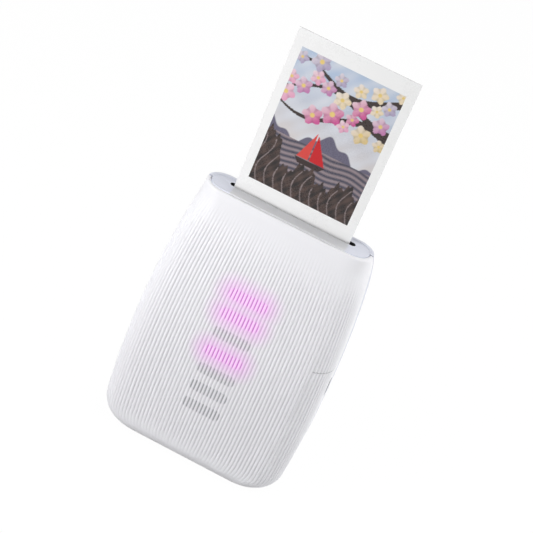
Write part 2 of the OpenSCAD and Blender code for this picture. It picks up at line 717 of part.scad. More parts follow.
// ---------- film ----------
module film_sheet() {
    color([0.97, 0.97, 0.97])
    difference() {
        block(-film_w/2, film_w/2, film_front, film_back, film_z, film_z + film_h);
        block(-picture_w/2, picture_w/2, film_front - past, film_front + 0.06, film_z + picture_low,
            film_z + picture_low + picture_h);
    }
}
module film_pack() {
    color([0.12, 0.12, 0.13])
    difference() {
        block(-pack_w/2, pack_w/2, pack_front, pack_back, pack_low, pack_top);
        block(-film_w/2 - 0.5, film_w/2 + 0.5, film_front - slip, pack_back - 1.2, film_home - 0.3, pack_top - 4);
        block(-film_w/2 - 0.5, film_w/2 + 0.5, film_front - slip, film_back + slip, film_home, pack_top + past);
        block(-picture_w/2, picture_w/2, pack_front - past, film_front, film_home + picture_low,
            film_home + picture_low + picture_h);
        for (side = [-1, 1])
            block(side*pad_x - pad_w/2 - 2, side*pad_x + pad_w/2 + 2, plate_back, pack_back + past,
                pad_z - pad_span/2 - 1, pad_z + pad_span/2 + 1);
        block(claw_x - claw_w/2 - slip, claw_x + claw_w/2 + slip, pack_front - past, film_back + slip,
            claw_low - slip, film_home + stroke + slip);
    }
}
module film_stack() {
    color([0.9, 0.9, 0.9])
    block(-film_w/2, film_w/2, film_back + slip, film_back + slip + stack_d, film_home, film_home + film_h - 0.4);
}
module pack_pressure_plate() {
    color([0.2, 0.2, 0.2])
    block(-film_w/2, film_w/2, plate_back - 0.8, plate_back, film_home, film_home + film_h - 0.4);
}
// Plate that slides on the chassis's stud, with a finger that reaches under the sheet
module pick_claw() {
    finger_top = film_home - 0.3;
    color([0.7, 0.7, 0.72])
    difference() {
        union() {
            block(claw_x - claw_plate_w/2, claw_x + claw_plate_w/2, claw_back - claw_t, claw_back, claw_low, claw_high);
            block(claw_x - claw_w/2, claw_x + claw_w/2, claw_back - claw_t, film_back - 0.05, finger_top - 1.6,
                finger_top);
        }
        slot_y(stroke + 2*(1.4 + slip), 2*(1.4 + slip), claw_back - 5, claw_back + past, claw_x, stud_z - stroke/2);
    }
}

// ---------- electrics ----------
module main_board() {
    color([0.1, 0.4, 0.25])
    difference() {
        union() {
            block(-board_w/2, board_w/2, board_front, board_front + board_t, board_low, board_high);
            for (chip = [[-10, 22, 12], [8, 42, 8], [-18, 52, 5]])
                block(chip[0] - chip[2]/2, chip[0] + chip[2]/2, board_front + board_t/2,
                    board_front + board_t + 1, board_low + chip[1] - chip[2]/2, board_low + chip[1] + chip[2]/2);
        }
        for (x = [-post_x, post_x]) for (z = post_z)
            rod_y(screw_r, board_front - past, board_front + 3, x, z);
    }
}
module battery() {
    front = chassis_y - sheet;
    color([0.75, 0.76, 0.8]) {
        block(battery_left, battery_right, front - battery_t, front, battery_low, battery_low + battery_h);
        block(battery_left, battery_right, front - battery_t + 0.6, front, battery_low + battery_h,
            battery_low + battery_h + 3);
    }
}
guide_room = 8.9;                                  // between the film pack's foot and the light guide
guide_low = foot_room + guide_room;
guide_high = guide_low + guide_h;
light_y = board_front - 3.2;
module light_guide() {
    steps = 8;
    heights = [for (i = [0:steps]) guide_low + (guide_high - guide_low)*i/steps];
    points = concat([for (z = heights) [front_y(z) + wall + seam, z]],
        [[light_y + board_t, guide_high], [light_y + board_t, guide_low]]);
    color([0.95, 0.9, 0.95])
    difference() {
        translate([-guide_w/2, 0, 0]) rotate([90, 0, 90]) linear_extrude(guide_w) polygon(points);
        block(-guide_w/2 + 1, guide_w/2 - 1, light_y - 1.4, 0, guide_low + 1, guide_high - 1);
    }
}
module light_board() {
    color([0.1, 0.4, 0.25]) {
        block(-guide_w/2 + 1.2, guide_w/2 - 1.2, light_y, light_y + board_t, guide_low + 1.2, guide_high - 1.2);
        for (x = [-6, 0, 6]) for (z = [guide_low + 6:6:guide_high - 6])
            block(x - 1, x + 1, light_y - 0.8, light_y + 0.5, z - 1, z + 1);
    }
}
side_in = chassis_w/2;
module port_board() {
    color([0.1, 0.4, 0.25])
    block(side_in, side_in + board_t, port_y - 7, port_y + 8, port_z - 9, port_z + 9);
}
socket_end = half_w(port_z) - 0.5;
module charging_socket() {
    color([0.75, 0.76, 0.78]) {
        difference() {
            slot_x(port_l - 2*seat, port_w - 2*seat, side_in + board_t, socket_end, port_y, port_z);
            slot_x(port_l - 2*seat - 0.7, port_w - 2*seat - 0.7, side_in + board_t + 0.8, socket_end + past,
                port_y, port_z);
        }
        block(side_in + board_t + 0.4, socket_end - 1, port_y - 0.35, port_y + 0.35, port_z - 3.2, port_z + 3.2);
    }
}
button_y = 1;
power_z = 72;
mode_z = 54;
lamp_z = 84;
lamp_r = 1.1;
press = 0.7;
switch_out = side_in + board_t + 2.4;              // outer face of the switches
module button_board() {
    color([0.1, 0.4, 0.25]) {
        block(-side_in - board_t, -side_in, button_y - 4.5, button_y + 4.5, mode_z - 8, lamp_z + 4);
        for (z = [power_z, mode_z]) {
            block(-side_in - board_t - 2, -side_in - 0.5, button_y - 2.5, button_y + 2.5, z - 2.5, z + 2.5);
            rod_x(1.5, -switch_out, -side_in - 1, button_y, z);
        }
    }
}
module side_button(z) {
    face = half_w(z) + 0.1;
    in = min(half_w(z + button_l/2), half_w(z - button_l/2)) - wall - 0.1;
    slot_x(button_l, button_w, -face, -in + 0.1, button_y, z);
    slot_x(button_l + 2, button_w + 2, -in, -in + 0.8, button_y, z);
    rod_x(1.5, -in, -switch_out - press - 0.1, button_y, z);
}
module power_button() color([0.9, 0.9, 0.92]) side_button(power_z);
module mode_button() color([0.9, 0.9, 0.92]) side_button(mode_z);
module charge_lamp() {
    color([0.9, 0.95, 1, 0.6])
    rod_x(lamp_r, -half_w(lamp_z) + 0.1, -side_in - board_t, button_y, lamp_z);
}
ribbon_w = 12;
ribbon_left = 7 - film_w/2;
module ribbon_cable() {
    color([0.8, 0.5, 0.2])
    block(ribbon_left, ribbon_left + ribbon_w, board_front - 0.2, board_front, board_high - 8, head_high - 1);
}
module chassis_screws() {
    color([0.6, 0.6, 0.62])
    for (x = [-1, 1]) for (y = [1.4, 7]) {
        rod_z(screw_r, chassis_top - sheet, chassis_top + sheet, x*flange_x, y);
        rod_z(1.5, chassis_top + sheet, chassis_top + sheet + 0.9, x*flange_x, y);
    }
}
board_screw_l = 5;
module board_screws() {
    color([0.6, 0.6, 0.62])
    for (x = [-post_x, post_x]) for (z = post_z) {
        rod_y(screw_r, board_front - 0.1, board_front + board_screw_l, x, z);
        rod_y(1.7, board_front - 1, board_front, x, z);
    }
}

front_cover();
rear_shell();
top_cover();
base_plate();
side_panel();
film_door();
door_window();
door_seal();
door_hinge_pins();
door_latch();
latch_spring();
pressure_springs();
chassis();
roller_plate_left();
roller_plate_right();
front_roller();
front_roller_shaft();
rear_roller();
rear_roller_shaft();
roller_bushes();
front_roller_gear();
rear_roller_gear();
upper_idler_gear();
lower_idler_gear();
idler_pins();
motor();
motor_clip();
motor_pinion();
print_head();
head_lens();
slot_seals();
film_sheet();
film_pack();
film_stack();
pack_pressure_plate();
pick_claw();
main_board();
battery();
light_board();
light_guide();
port_board();
charging_socket();
button_board();
power_button();
mode_button();
charge_lamp();
ribbon_cable();
chassis_screws();
board_screws();
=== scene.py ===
import json
import math
import random

import bmesh
import bpy
from mathutils import Matrix, Vector

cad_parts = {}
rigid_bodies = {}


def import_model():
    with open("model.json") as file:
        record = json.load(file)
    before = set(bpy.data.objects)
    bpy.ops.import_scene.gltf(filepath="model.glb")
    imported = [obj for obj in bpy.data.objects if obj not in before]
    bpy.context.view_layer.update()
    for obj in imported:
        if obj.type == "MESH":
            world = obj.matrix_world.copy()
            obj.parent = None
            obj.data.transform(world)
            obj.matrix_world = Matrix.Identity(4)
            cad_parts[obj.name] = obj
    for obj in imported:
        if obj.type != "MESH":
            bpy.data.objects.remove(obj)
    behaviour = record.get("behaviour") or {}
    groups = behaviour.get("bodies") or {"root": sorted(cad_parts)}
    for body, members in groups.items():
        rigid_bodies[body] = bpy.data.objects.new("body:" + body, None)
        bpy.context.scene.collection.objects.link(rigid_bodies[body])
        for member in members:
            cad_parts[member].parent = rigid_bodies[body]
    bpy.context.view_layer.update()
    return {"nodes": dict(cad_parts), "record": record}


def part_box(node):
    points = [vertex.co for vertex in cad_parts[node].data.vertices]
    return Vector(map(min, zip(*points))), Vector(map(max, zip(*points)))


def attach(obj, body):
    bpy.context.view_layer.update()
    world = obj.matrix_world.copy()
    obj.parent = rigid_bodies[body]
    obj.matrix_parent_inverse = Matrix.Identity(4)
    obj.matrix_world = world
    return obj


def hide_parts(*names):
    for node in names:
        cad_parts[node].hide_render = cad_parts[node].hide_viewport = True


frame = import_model()
nodes = frame["nodes"]
mm = 0.001
print("frame:", len(nodes), "nodes")

# Camera: the printer leans to the right, seen from above its front; degrees and millimetres
view = {"azimuth": 6.8, "elevation": 28.57, "roll": 23.61, "aim": (0, 0, 80), "distance": 650.8,
        "right": -5.75, "up": -14.88, "lens": 102.1, "sensor": 36}


def makeCamera():
    a, e, r = (math.radians(view[key]) for key in ("azimuth", "elevation", "roll"))
    back = Vector((math.sin(a) * math.cos(e), -math.cos(a) * math.cos(e), math.sin(e)))
    level = Vector((math.cos(a), math.sin(a), 0))
    rise = back.cross(level)
    right = level * math.cos(r) + rise * math.sin(r)
    up = rise * math.cos(r) - level * math.sin(r)
    place = Vector(view["aim"]) - right * view["right"] - up * view["up"] + back * view["distance"]
    camera = bpy.data.objects.new("camera", bpy.data.cameras.new("camera"))
    camera.data.lens = view["lens"]
    camera.data.sensor_width = view["sensor"]
    camera.data.clip_start = 0.01
    camera.matrix_world = Matrix.Translation(place * mm) @ Matrix((right, up, back)).transposed().to_4x4()
    bpy.context.scene.collection.objects.link(camera)
    bpy.context.scene.camera = camera


makeCamera()
bpy.context.scene.view_settings.view_transform = "Standard"
print("camera set")

# Studio: white surroundings and a soft key from the upper left; a lamp has a name, place, size and power
studio = {"world": 0.41, "floorGlow": 0.92, "floorSize": 8, "floorColor": 0.4, "floorLight": 1.06,
          "aim": (0, 0, 0.08),
          "lamps": [("key", (-0.26, -0.27, 0.21), 0.20, 0.98), ("above", (-0.15, -0.15, 0.55), 0.3, 0.08),
                    ("side", (0.5, 0.2, 0.15), 0.3, 0.6), ("right", (0.45, -0.10, 0.25), 0.25, 0.88),
                    ("behind", (0.1, 0.5, 0.7), 0.5, 1.3)]}


def shaderTree(owner):
    owner.use_nodes = True
    owner.node_tree.nodes.clear()
    return owner.node_tree


# New node: settings are its own properties, values its inputs, given as numbers or as another node's output
def add(tree, kind, values=None, **settings):
    made = tree.nodes.new(kind)
    for name, value in settings.items():
        setattr(made, name, value)
    for name, value in (values or {}).items():
        if isinstance(value, bpy.types.NodeSocket):
            tree.links.new(value, made.inputs[name])
        else:
            made.inputs[name].default_value = value
    return made


def maths(tree, operation, first, second=0.0, third=0.0, clamp=False):
    made = add(tree, "ShaderNodeMath", {0: first, 1: second, 2: third}, operation=operation, use_clamp=clamp)
    return made.outputs[0]


def ramp(tree, value, low, high, start=0.0, end=1.0, curve="LINEAR"):
    values = {"Value": value, "From Min": low, "From Max": high, "To Min": start, "To Max": end}
    return add(tree, "ShaderNodeMapRange", values, interpolation_type=curve).outputs[0]


def seenDirectly(tree):
    path = add(tree, "ShaderNodeLightPath")
    both = maths(tree, "MAXIMUM", path.outputs["Is Camera Ray"], path.outputs["Is Glossy Ray"])
    return maths(tree, "MAXIMUM", both, path.outputs["Is Transmission Ray"])


def makeWorld():
    world = bpy.context.scene.world or bpy.data.worlds.new("studio")
    bpy.context.scene.world = world
    tree = shaderTree(world)
    strength = maths(tree, "MULTIPLY_ADD", seenDirectly(tree), 1 - studio["world"], studio["world"])
    light = add(tree, "ShaderNodeBackground", {"Color": (1, 1, 1, 1), "Strength": strength})
    add(tree, "ShaderNodeOutputWorld", {"Surface": light.outputs[0]})


# The floor keeps the printer's shadow, and otherwise looks as white as the surroundings
def makeFloor():
    half = studio["floorSize"] / 2
    mesh = bpy.data.meshes.new("floor")
    corners = [(-half, -half, 0), (half, -half, 0), (half, half, 0), (-half, half, 0)]
    mesh.from_pydata(corners, [], [(0, 1, 2, 3)])
    floor = bpy.data.objects.new("floor", mesh)
    bpy.context.scene.collection.objects.link(floor)
    paint = bpy.data.materials.new("whiteFloor")
    tree = shaderTree(paint)
    share = maths(tree, "MULTIPLY", seenDirectly(tree), studio["floorGlow"])
    matt = add(tree, "ShaderNodeBsdfDiffuse", {"Color": (*[studio["floorColor"]] * 3, 1)})
    glow = add(tree, "ShaderNodeEmission", {"Color": (1, 1, 1, 1), "Strength": studio["floorLight"]})
    both = add(tree, "ShaderNodeMixShader", {0: share, 1: matt.outputs[0], 2: glow.outputs[0]})
    add(tree, "ShaderNodeOutputMaterial", {"Surface": both.outputs[0]})
    mesh.materials.append(paint)


def makeLamps():
    for name, place, size, power in studio["lamps"]:
        data = bpy.data.lights.new(name, "AREA")
        data.size = size
        data.energy = power
        lamp = bpy.data.objects.new(name, data)
        lamp.location = place
        lamp.rotation_euler = (Vector(studio["aim"]) - Vector(place)).to_track_quat("-Z", "Y").to_euler()
        bpy.context.scene.collection.objects.link(lamp)


makeWorld()
makeFloor()
makeLamps()
print("studio lit:", len(studio["lamps"]), "lamps")


# Effects that several materials share, as node groups; an input's kind follows from its first value
def newGroup(name, inputs, outputs):
    group = bpy.data.node_groups.new(name, "ShaderNodeTree")
    for label, value in inputs.items():
        kind = "Float" if isinstance(value, float) else "Color" if len(value) == 4 else "Vector"
        socket = group.interface.new_socket(label, in_out="INPUT", socket_type="NodeSocket" + kind)
        socket.default_value = value
    for label in outputs:
        kind = "NodeSocketColor" if label == "Color" else "NodeSocketFloat"
        group.interface.new_socket(label, in_out="OUTPUT", socket_type=kind)
    return group, group.nodes.new("NodeGroupInput").outputs, group.nodes.new("NodeGroupOutput").inputs


def rgba(color):
    return (*color, 1) if isinstance(color, tuple) and len(color) == 3 else color


def blendColor(tree, share, first, second):
    values = {"Factor": share, 6: rgba(first), 7: rgba(second)}  # sockets 6 and 7 are the two colours
    return add(tree, "ShaderNodeMix", values, data_type="RGBA").outputs[2]


# Fine grain, slow changes of tone and of gloss, and a little wear for moulded and painted surfaces
def makeGrainGroup():
    group, given, result = newGroup("fineGrain", {
        "Vector": (0, 0, 0), "Color": (0.8, 0.8, 0.8, 1), "Tone": 0.04, "Grain Size": 0.3, "Roughness": 0.4,
        "Roughness Change": 0.08, "Wear": 0.1, "Wear Color": (0.86, 0.86, 0.88, 1)},
        ("Color", "Roughness", "Height", "Wear"))
    place = given["Vector"]
    scale = maths(group, "DIVIDE", 1 / mm, given["Grain Size"])
    grain = add(group, "ShaderNodeTexNoise", {"Vector": place, "Scale": scale, "Detail": 2.0}).outputs["Fac"]
    slow = add(group, "ShaderNodeTexNoise", {"Vector": place, "Scale": 45.0, "Detail": 4.0, "Roughness": 0.6})
    slow = slow.outputs["Fac"]
    speck = maths(group, "MULTIPLY", maths(group, "SUBTRACT", grain, 0.5), 0.5)
    both = maths(group, "ADD", maths(group, "SUBTRACT", slow, 0.5), speck)
    value = maths(group, "MULTIPLY_ADD", both, given["Tone"], 1.0)
    tinted = add(group, "ShaderNodeHueSaturation", {"Color": given["Color"], "Value": value, "Saturation": 1.0})
    edge = add(group, "ShaderNodeNewGeometry").outputs["Pointiness"]
    worn = ramp(group, edge, 0.53, 0.62, 0.0, given["Wear"])
    worn = maths(group, "MULTIPLY", worn, maths(group, "MULTIPLY", slow, 1.6), clamp=True)
    gloss = maths(group, "MULTIPLY_ADD", both, given["Roughness Change"], given["Roughness"], clamp=True)
    group.links.new(blendColor(group, worn, tinted.outputs[0], given["Wear Color"]), result["Color"])
    group.links.new(gloss, result["Roughness"])
    group.links.new(grain, result["Height"])
    group.links.new(worn, result["Wear"])
    return group


# Fine lines along one axis for ground and brushed metal
def makeBrushedGroup():
    group, given, result = newGroup("brushed", {
        "Vector": (0, 0, 0), "Color": (0.6, 0.6, 0.6, 1), "Stretch": (40, 2500, 2500), "Tone": 0.12,
        "Roughness": 0.3, "Roughness Change": 0.2}, ("Color", "Roughness", "Height"))
    stretched = add(group, "ShaderNodeVectorMath", {0: given["Vector"], 1: given["Stretch"]},
                    operation="MULTIPLY")
    lines = add(group, "ShaderNodeTexNoise", {"Vector": stretched.outputs[0], "Scale": 1.0, "Detail": 3.0})
    cloud = add(group, "ShaderNodeTexNoise", {"Vector": given["Vector"], "Scale": 120.0, "Detail": 3.0})
    both = maths(group, "ADD", maths(group, "SUBTRACT", lines.outputs["Fac"], 0.5),
                 maths(group, "SUBTRACT", cloud.outputs["Fac"], 0.5))
    value = maths(group, "MULTIPLY_ADD", both, given["Tone"], 1.0)
    tinted = add(group, "ShaderNodeHueSaturation", {"Color": given["Color"], "Value": value, "Saturation": 1.0})
    gloss = maths(group, "MULTIPLY_ADD", both, given["Roughness Change"], given["Roughness"], clamp=True)
    group.links.new(tinted.outputs[0], result["Color"])
    group.links.new(gloss, result["Roughness"])
    group.links.new(lines.outputs["Fac"], result["Height"])
    return group


# Distance from the middle line of a slot or lamp with round ends: the line is halfLine long each way
def lineDistance(group, along, across, halfLine):
    past = maths(group, "MAXIMUM", maths(group, "SUBTRACT", maths(group, "ABSOLUTE", along), halfLine), 0.0)
    squares = maths(group, "ADD", maths(group, "MULTIPLY", past, past), maths(group, "MULTIPLY", across, across))
    return maths(group, "SQRT", squares)


# Where each of the lamps' masks fades, in metres from the rim
lampFades = {"Mark": (-0.0003, 0.0003), "Lit": (-0.0012, 0.0012), "Glow": (-0.003, 0.009)}


# Column of lamps behind the ribs: which spots are marked, which of them shine, and the glow round those
def makeLampGroup():
    group, given, result = newGroup("lampColumn", {
        "Vector": (0, 0, 0), "Low": 0.0305, "Pitch": 0.0096, "Count": 7.0, "Half Width": 0.0092,
        "Half Height": 0.0026, "Lit From": 5.0, "Lit Also": 3.0, "Front": -0.009}, lampFades)
    place = add(group, "ShaderNodeSeparateXYZ", {0: given["Vector"]}).outputs
    step = maths(group, "DIVIDE", maths(group, "SUBTRACT", place["Z"], given["Low"]), given["Pitch"])
    count = maths(group, "SUBTRACT", given["Count"], 1.0)
    halfLine = maths(group, "SUBTRACT", given["Half Width"], given["Half Height"])

    def lampDistance(first, last):
        nearest = maths(group, "MINIMUM", maths(group, "MAXIMUM", maths(group, "ROUND", step), first), last)
        up = maths(group, "MULTIPLY", maths(group, "SUBTRACT", step, nearest), given["Pitch"])
        return maths(group, "SUBTRACT", lineDistance(group, place["X"], up, halfLine), given["Half Height"])

    lit = maths(group, "MINIMUM", lampDistance(given["Lit From"], count),
                lampDistance(given["Lit Also"], given["Lit Also"]))
    inFront = maths(group, "LESS_THAN", place["Y"], given["Front"])
    for label, distance in (("Mark", lampDistance(0.0, count)), ("Lit", lit), ("Glow", lit)):
        fade = ramp(group, distance, *lampFades[label], 1.0, 0.0, "SMOOTHSTEP")
        group.links.new(maths(group, "MULTIPLY", fade, inFront), result[label])
    return group


# Walls of a slot with round ends, told from the surface round it by their distance from its middle line
# the walls it finds are painted dark, as the shade inside the slot
def makeSlotGroup():
    group, given, result = newGroup("slotWallShade", {"Along": 0.0, "Across": 0.0, "Half Length": 0.0045,
                                                  "Half Width": 0.0016, "Skin": 0.00003}, ("Mask",))
    halfLine = maths(group, "SUBTRACT", given["Half Length"], given["Half Width"])
    reach = lineDistance(group, given["Along"], given["Across"], halfLine)
    limit = maths(group, "ADD", given["Half Width"], given["Skin"])
    group.links.new(maths(group, "LESS_THAN", reach, limit), result["Mask"])
    return group


groups = {"grain": makeGrainGroup(), "brushed": makeBrushedGroup(), "lamps": makeLampGroup(),
          "slot": makeSlotGroup()}
print("shared effects:", ", ".join(groups))


def useGroup(tree, name, values):
    return add(tree, "ShaderNodeGroup", values, node_tree=groups[name]).outputs


def newMaterial(name):
    material = bpy.data.materials.new(name)
    tree = shaderTree(material)
    place = add(tree, "ShaderNodeTexCoord").outputs["Object"]
    return material, tree, add(tree, "ShaderNodeMapping", {"Vector": place}).outputs[0]


def grained(tree, place, color, rough, change, tone, grain, wear):
    return useGroup(tree, "grain", {"Vector": place, "Color": rgba(color), "Tone": tone, "Grain Size": grain,
                                    "Roughness": rough, "Roughness Change": change, "Wear": wear})


# Shader from what a group found; values add to it or stand in its place
def finishMaterial(tree, found, bump, values=None, distance=0.00003, height=None):
    height = found["Height"] if height is None else height
    raised = add(tree, "ShaderNodeBump", {"Height": height, "Strength": bump, "Distance": distance})
    looks = {"Base Color": found["Color"], "Roughness": found["Roughness"], "Normal": raised.outputs[0]}
    shader = add(tree, "ShaderNodeBsdfPrincipled", {**looks, **(values or {})})
    add(tree, "ShaderNodeOutputMaterial", {"Surface": shader.outputs[0]})


def moulded(name, color, rough=0.4, change=0.1, tone=0.06, grain=0.25, bump=0.25, wear=0.1, coat=0.0):
    material, tree, place = newMaterial(name)
    found = grained(tree, place, color, rough, change, tone, grain, wear)
    finishMaterial(tree, found, bump, {"Coat Weight": coat})
    return material


def metal(name, color, rough=0.3, stretch=(40, 2500, 2500), tone=0.15, bump=0.12):
    material, tree, place = newMaterial(name)
    found = useGroup(tree, "brushed", {"Vector": place, "Color": rgba(color), "Stretch": stretch, "Tone": tone,
                                       "Roughness": rough})
    finishMaterial(tree, found, bump, {"Metallic": 1.0}, 0.00002)
    return material


def glass(name, color, weight=0.85, rough=0.05):
    material, tree, place = newMaterial(name)
    found = grained(tree, place, color, rough, 0.04, 0.03, 0.6, 0.0)
    finishMaterial(tree, found, 0.05, {"IOR": 1.49, "Transmission Weight": weight})
    return material


# Colours and shares of the white cover; places and half sizes in metres
coverLook = {"color": (0.885, 0.882, 0.915), "rough": 0.38, "slotShadeColor": (0.02, 0.02, 0.022),
             "portAt": (0.0015, 0.058), "portShadeHalf": (0.0047, 0.0021), "portPast": 0.03,
             "markColor": (0.30, 0.30, 0.33), "markBetween": 0.06, "markGroove": 0.75,
             "litRib": (0.88, 0.64, 0.88), "litGroove": (0.42, 0.12, 0.44), "litGlow": (0.20, 0.08, 0.20),
             "haloRib": (0.80, 0.59, 0.81), "haloGroove": (0.68, 0.42, 0.70), "haloGlow": (0.155, 0.07, 0.155),
             "grooveShadeTone": (0.62, 0.615, 0.66), "grooveShadeShare": 0.30, "seamTone": (0.55, 0.55, 0.58),
             "seamAt": (0.0371, 0.0719), "seamHalf": 0.00022}


# White cover: grey marks of the lamps show in the grooves, and the upper lamps shine through the ribs
def coverMaterial():
    material, tree, place = newMaterial("ribbedWhite")
    found = grained(tree, place, coverLook["color"], coverLook["rough"], 0.08, 0.02, 0.2, 0.0)
    lamps = useGroup(tree, "lamps", {"Vector": place})
    groove = add(tree, "ShaderNodeAttribute", attribute_name="grooveMask").outputs["Fac"]
    # painted shade: the grooves are painted darker, as the shade in the creases between the ribs
    shade = blendColor(tree, maths(tree, "MULTIPLY", groove, coverLook["grooveShadeShare"]), found["Color"],
                       coverLook["grooveShadeTone"])
    unlit = maths(tree, "MULTIPLY", lamps["Mark"], maths(tree, "SUBTRACT", 1.0, lamps["Lit"]))
    share = maths(tree, "MULTIPLY_ADD", groove, coverLook["markGroove"], coverLook["markBetween"])
    color = blendColor(tree, maths(tree, "MULTIPLY", unlit, share, clamp=True), shade, coverLook["markColor"])
    # light that comes through tints the plastic, most of all in the grooves where it is thin
    color = blendColor(tree, lamps["Glow"], color,
                       blendColor(tree, groove, coverLook["haloRib"], coverLook["haloGroove"]))
    lit = maths(tree, "MULTIPLY", lamps["Lit"], lamps["Mark"])
    color = blendColor(tree, lit, color, blendColor(tree, groove, coverLook["litRib"], coverLook["litGroove"]))
    light = blendColor(tree, lamps["Glow"], (0, 0, 0), coverLook["haloGlow"])
    light = blendColor(tree, lit, light, coverLook["litGlow"])
    axes = add(tree, "ShaderNodeSeparateXYZ", {0: place}).outputs
    # painted shade: the port's walls and a thin rim round its mouth are painted nearly black, as the shade inside
    # the opening
    portY, portZ = coverLook["portAt"]
    halfLong, halfWidth = coverLook["portShadeHalf"]
    port = useGroup(tree, "slot", {"Along": maths(tree, "SUBTRACT", axes["Z"], portZ),
                                   "Across": maths(tree, "SUBTRACT", axes["Y"], portY),
                                   "Half Length": halfLong, "Half Width": halfWidth})["Mask"]
    port = maths(tree, "MULTIPLY", port, maths(tree, "GREATER_THAN", axes["X"], coverLook["portPast"]))
    color = blendColor(tree, port, color, coverLook["slotShadeColor"])
    # shade along the upper seam of the side panel
    seamX, seamZ = coverLook["seamAt"]
    off = maths(tree, "ABSOLUTE", maths(tree, "SUBTRACT", axes["Z"], seamZ))
    near = maths(tree, "MULTIPLY", maths(tree, "LESS_THAN", off, coverLook["seamHalf"]),
                 maths(tree, "GREATER_THAN", axes["X"], seamX))
    color = blendColor(tree, near, color, coverLook["seamTone"])
    finishMaterial(tree, found, 0.12, {"Base Color": color, "Emission Color": light, "Emission Strength": 1.0})
    return material


# Colours of the pale shell; places and half sizes in metres
topLook = {"color": (0.70, 0.72, 0.81), "rough": 0.42, "slotShadeColor": (0.015, 0.015, 0.017),
           "shadeBandColor": (0.56, 0.565, 0.585), "shadeBandEdge": (0.70, 0.705, 0.725), "shadeBandEnds": (0.026, 0.0275),
           "shadeBandFrom": 0.001, "slotShadeHalf": (0.0293, 0.0015), "slotX": 0.0004, "above": 0.12,
           "footColor": (0.36, 0.36, 0.40), "footHigh": 0.0015}


# Pale shell; the walls of the sheet's slot are painted dark as shade, and the strip before the sheet is painted
# grey
def shellMaterial(filmY, frontY):
    material, tree, place = newMaterial("paleBlueShell")
    axes = add(tree, "ShaderNodeSeparateXYZ", {0: place}).outputs
    high = maths(tree, "GREATER_THAN", axes["Z"], topLook["above"])
    along = maths(tree, "SUBTRACT", axes["X"], topLook["slotX"])
    halfLong, halfWidth = topLook["slotShadeHalf"]
    slot = useGroup(tree, "slot", {"Along": along, "Across": maths(tree, "SUBTRACT", axes["Y"], filmY),
                                   "Half Length": halfLong, "Half Width": halfWidth})["Mask"]
    # painted shadow and reflection: the strip before the sheet is grey, as the sheet's shadow with its white
    # border reflected, lighter towards the lip
    ends = ramp(tree, maths(tree, "ABSOLUTE", along), *topLook["shadeBandEnds"], 1.0, 0.0, "SMOOTHSTEP")
    shadeBand = maths(tree, "MULTIPLY", ends, maths(tree, "LESS_THAN", axes["Y"], filmY))
    toLip = ramp(tree, axes["Y"], filmY - topLook["shadeBandFrom"], frontY)
    found = grained(tree, place, topLook["color"], topLook["rough"], 0.1, 0.03, 0.2, 0.15)
    strip = blendColor(tree, toLip, topLook["shadeBandColor"], topLook["shadeBandEdge"])
    color = blendColor(tree, maths(tree, "MULTIPLY", shadeBand, high), found["Color"], strip)
    # painted shade: the walls of the sheet's slot, up on the top, are painted nearly black
    color = blendColor(tree, maths(tree, "MULTIPLY", slot, high), color, topLook["slotShadeColor"])
    # the lowest 1.5 mm of the shell, at the foot, is painted darker
    foot = maths(tree, "LESS_THAN", axes["Z"], topLook["footHigh"])
    color = blendColor(tree, foot, color, topLook["footColor"])
    finishMaterial(tree, found, 0.2, {"Base Color": color})
    return material


# Green board with thin copper lines under its lacquer
def boardMaterial():
    material, tree, place = newMaterial("circuitBoard")
    cells = add(tree, "ShaderNodeTexBrick", {
        "Vector": place, "Color1": (0.02, 0.20, 0.10, 1), "Color2": (0.03, 0.24, 0.12, 1),
        "Mortar": (0.10, 0.34, 0.16, 1), "Scale": 300.0, "Mortar Size": 0.02}).outputs
    found = grained(tree, place, cells["Color"], 0.3, 0.15, 0.15, 0.5, 0.1)
    finishMaterial(tree, found, 0.2, height=cells["Fac"])
    return material


# Print: the painted picture on its front, plain white border, black back
def printMaterial(middle):
    material, tree, place = newMaterial("instantPrint")
    paint = add(tree, "ShaderNodeAttribute", attribute_name="paint").outputs["Color"]
    deep = add(tree, "ShaderNodeSeparateXYZ", {0: place}).outputs["Y"]
    behind = maths(tree, "GREATER_THAN", deep, middle)
    color = blendColor(tree, behind, paint, (0.035, 0.035, 0.04))
    found = grained(tree, place, color, 0.28, 0.1, 0.03, 0.4, 0.0)
    finishMaterial(tree, found, 0.06)
    return material


